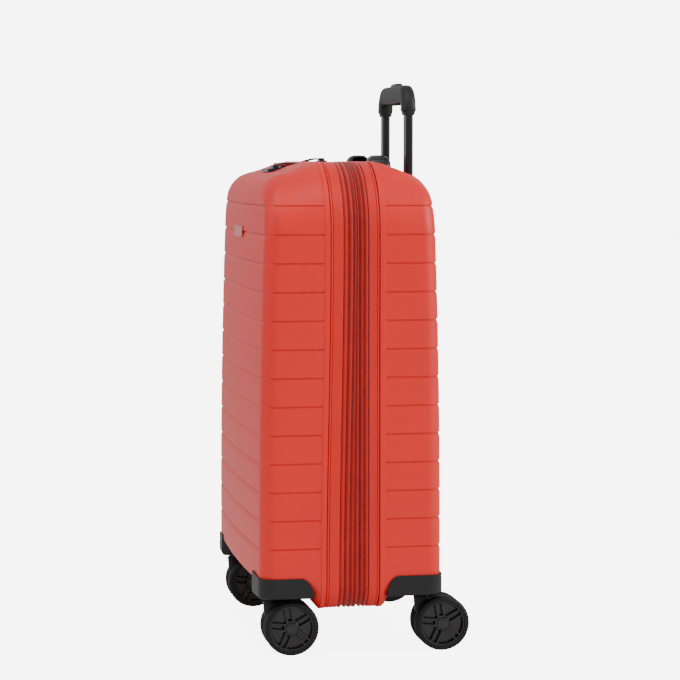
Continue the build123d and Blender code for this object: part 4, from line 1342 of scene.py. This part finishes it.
def buildPull(side):
    node = "zip_pull_" + side
    low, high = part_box(node)
    cx = (low.x + high.x) / 2
    half = (high.x - low.x) / 2
    length = high.y - low.y
    sections = []
    for k in range(41):
        t = k / 40
        y = mix(high.y, low.y, t)
        z = mix(high.z - 0.0020, low.z + 0.0012, smooth(0.12, 0.62, t)) + 0.0007 * math.sin(t * math.pi * 2)
        end = smooth(0.0, 0.05, t) * smooth(1.0, 0.955, t)
        rib = 0.00016 * math.cos(2 * math.pi * y / 0.0026) * smooth(0.45, 0.55, t)
        wide = half * (mix(0.62, 1.0, smooth(0.30, 0.5, t))) * mix(0.45, 1, end)
        sections.append(roundSection((cx, y, min(max(z, low.z + 0.0011), high.z - 0.0011)), (1, 0, 0),
                                     (0, 0, 1), wide, 0.0010 * mix(0.6, 1, end) + rib, 2.8, 20))
    place(loft("zipPull_" + side, sections, 50), blackSoft, "zip_pull_%s_body" % side, "soft_black", node)


screwForm = {"radius": 0.0022, "height": 0.0008}


def screwHead():
    bm = bmesh.new()
    steps = 20
    rings = [(1.0, 0.0), (1.0, 0.45), (0.90, 0.85), (0.62, 1.0)]
    grid = []
    for r, h in rings:
        grid.append([bm.verts.new((screwForm["radius"] * r * math.cos(2 * math.pi * i / steps),
                                   screwForm["radius"] * r * math.sin(2 * math.pi * i / steps),
                                   screwForm["height"] * h)) for i in range(steps)])
    inner = []
    for i in range(steps):
        a = 2 * math.pi * i / steps
        arm = min(abs(math.cos(a)), abs(math.sin(a)))
        r = screwForm["radius"] * (0.52 if arm < 0.33 else 0.2)
        inner.append(bm.verts.new((r * math.cos(a), r * math.sin(a), screwForm["height"])))
    floorRing = [bm.verts.new((v.co.x, v.co.y, screwForm["height"] * 0.3)) for v in inner]
    grid += [inner, floorRing]
    for a, b in zip(grid, grid[1:]):
        for i in range(steps):
            j = (i + 1) % steps
            bm.faces.new((a[i], a[j], b[j], b[i]))
    bm.faces.new(floorRing)
    bmesh.ops.recalc_face_normals(bm, faces=bm.faces)
    return objectFromBmesh("screwHead", bm, 40)


def screwTree():
    tree = bpy.data.node_groups.new("screwsOnPoints", "GeometryNodeTree")
    face = tree.interface
    face.new_socket("Points", in_out="INPUT", socket_type="NodeSocketGeometry")
    for name, kind in (("Head", "NodeSocketObject"), ("Facing", "NodeSocketVector"),
                       ("Scale", "NodeSocketFloat"), ("Finish", "NodeSocketMaterial")):
        face.new_socket(name, in_out="INPUT", socket_type=kind)
    face.new_socket("Screws", in_out="OUTPUT", socket_type="NodeSocketGeometry")
    make, link = tree.nodes.new, tree.links.new
    given, result, info = make("NodeGroupInput"), make("NodeGroupOutput"), make("GeometryNodeObjectInfo")
    turn, spread = make("FunctionNodeAlignRotationToVector"), make("GeometryNodeInstanceOnPoints")
    turn.axis = "Z"
    realize, finish = make("GeometryNodeRealizeInstances"), make("GeometryNodeSetMaterial")
    link(given.outputs["Head"], info.inputs["Object"])
    link(given.outputs["Facing"], turn.inputs["Vector"])
    link(given.outputs["Points"], spread.inputs["Points"])
    link(info.outputs["Geometry"], spread.inputs["Instance"])
    link(turn.outputs["Rotation"], spread.inputs["Rotation"])
    link(given.outputs["Scale"], spread.inputs["Scale"])
    link(spread.outputs["Instances"], realize.inputs["Geometry"])
    link(realize.outputs["Geometry"], finish.inputs["Geometry"])
    link(given.outputs["Finish"], finish.inputs["Material"])
    link(finish.outputs["Geometry"], result.inputs[0])
    return tree


screwNodes, screwMesh = screwTree(), screwHead()


def screws(name, points, facing, material, body, slotName, scale=1.0):
    mesh = bpy.data.meshes.new(name)
    mesh.from_pydata([tuple(p) for p in points], [], [])
    obj = linked(name, mesh)
    runNodes(obj, screwNodes, {"Head": screwMesh, "Facing": facing, "Scale": scale, "Finish": material}, 40)
    return place(obj, material, body, slotName)


for index in (1, 2, 3):
    buildDial(index)
buildPull("left")
buildPull("right")
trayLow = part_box("trolley_tray")[0]
tubeLow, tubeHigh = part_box("inner_tube_right")
screwY, screwZ = (tubeLow.y + tubeHigh.y) / 2, trayLow.z + 0.0131
screws("trayScrews", [(x, screwY, screwZ) for x in (-0.046, -0.02, 0.02, 0.046)], (0, 0, 1), zincBlack,
       "back_half", "black_metal")
for placeName, (sx, side) in corners.items():
    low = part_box("corner_guard_" + placeName)[0].z + 0.0022
    screws("guardScrews_" + placeName, [(sx * x, side * 0.055, low + 0.0001) for x in (0.118, 0.172)],
           (0, 0, -1),
           zincBlack, halves[side], "black_metal", 1.3)
bpy.data.objects.remove(screwMesh)
print("dials, pulls and screws built")

# ---- the soft zip zone leans forwards a little towards the floor
leanForm = {"amount": 0.0048, "high": 0.46, "low": 0.08}


def lean(obj):
    for v in obj.data.vertices:
        y, z = v.co.y, v.co.z
        share = smooth(-0.062, -0.030, y) * (1 - smooth(0.0045, 0.0112, y))
        v.co.y -= leanForm["amount"] * share * (1 - smooth(leanForm["low"], leanForm["high"], z))
    obj.data.update()


for name in ("frontShell", "frontRim", "mainZipFront", "mainZipBack", "midFrame", "teethMainFront",
             "teethMainBack"):
    lean(bpy.data.objects[name])

# ---- stage, light and camera
studio = {"target": (0.0, 0.0206, 0.3415), "azimuth": 79.75, "elevation": 4.35, "distance": 2.83,
          "lens": 126.4, "paper": 7.0, "sky": 0.74}
stageMaterial, stageTree, stageShader = newMaterial("stagePaper", (0.8, 0.8, 0.8), 0.9, specular=0.0)
stageShader.inputs["Emission Color"].default_value = (1, 1, 1, 1)
paperPath = addNode(stageTree, "ShaderNodeLightPath")
paperGlow = mathOf(stageTree, "MULTIPLY", paperPath.outputs["Is Camera Ray"], studio["paper"] * 0.9)
stageTree.links.new(paperGlow, stageShader.inputs["Emission Strength"])
floorMesh = bpy.data.meshes.new("floor")
floorMesh.from_pydata([(-30, -30, 0), (30, -30, 0), (30, 30, 0), (-30, 30, 0)], [], [(0, 1, 2, 3)])
floorMesh.materials.append(stageMaterial)
floor = linked("floor", floorMesh)
floor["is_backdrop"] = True
world = bpy.data.worlds.new("studioWorld")
bpy.context.scene.world = world
world.use_nodes = True
worldTree = world.node_tree
path = addNode(worldTree, "ShaderNodeLightPath")
strength = mathOf(worldTree, "MULTIPLY", path.outputs["Is Camera Ray"], studio["paper"] - studio["sky"])
strength = mathOf(worldTree, "ADD", strength, studio["sky"])
worldTree.links.new(strength, worldTree.nodes["Background"].inputs["Strength"])
worldTree.nodes["Background"].inputs["Color"].default_value = (1, 1, 1, 1)


def softLight(name, spot, aim, size, power):
    data = bpy.data.lights.new(name, "AREA")
    data.shape, data.size, data.size_y, data.energy = "RECTANGLE", size[0], size[1], power
    obj = linked(name, data)
    obj.location = spot
    obj.rotation_mode = "QUATERNION"
    obj.rotation_quaternion = (Vector(aim) - Vector(spot)).to_track_quat("-Z", "Y")
    return obj


softLight("topLight", (1.0, -0.6, 2.4), (0, 0, 0.3), (2.0, 1.6), 26)
softLight("backSideLight", (1.2, 2.2, 1.4), (0, 0, 0.35), (1.6, 1.6), 58)
softLight("frontSideLight", (0.6, -2.4, 1.5), (0, 0, 0.35), (1.6, 1.6), 12)

cameraData = bpy.data.cameras.new("studioCamera")
camera = linked("studioCamera", cameraData)
turn, tilt = math.radians(studio["azimuth"]), math.radians(studio["elevation"])
back = Vector((math.sin(turn) * math.cos(tilt), -math.cos(turn) * math.cos(tilt), math.sin(tilt)))
camera.location = Vector(studio["target"]) + back * studio["distance"]
camera.rotation_mode = "QUATERNION"
camera.rotation_quaternion = (-back).to_track_quat("-Z", "Y")
cameraData.lens, cameraData.sensor_width = studio["lens"], 36
cameraData.clip_start, cameraData.clip_end = 0.05, 100
bpy.context.scene.camera = camera

low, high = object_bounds()
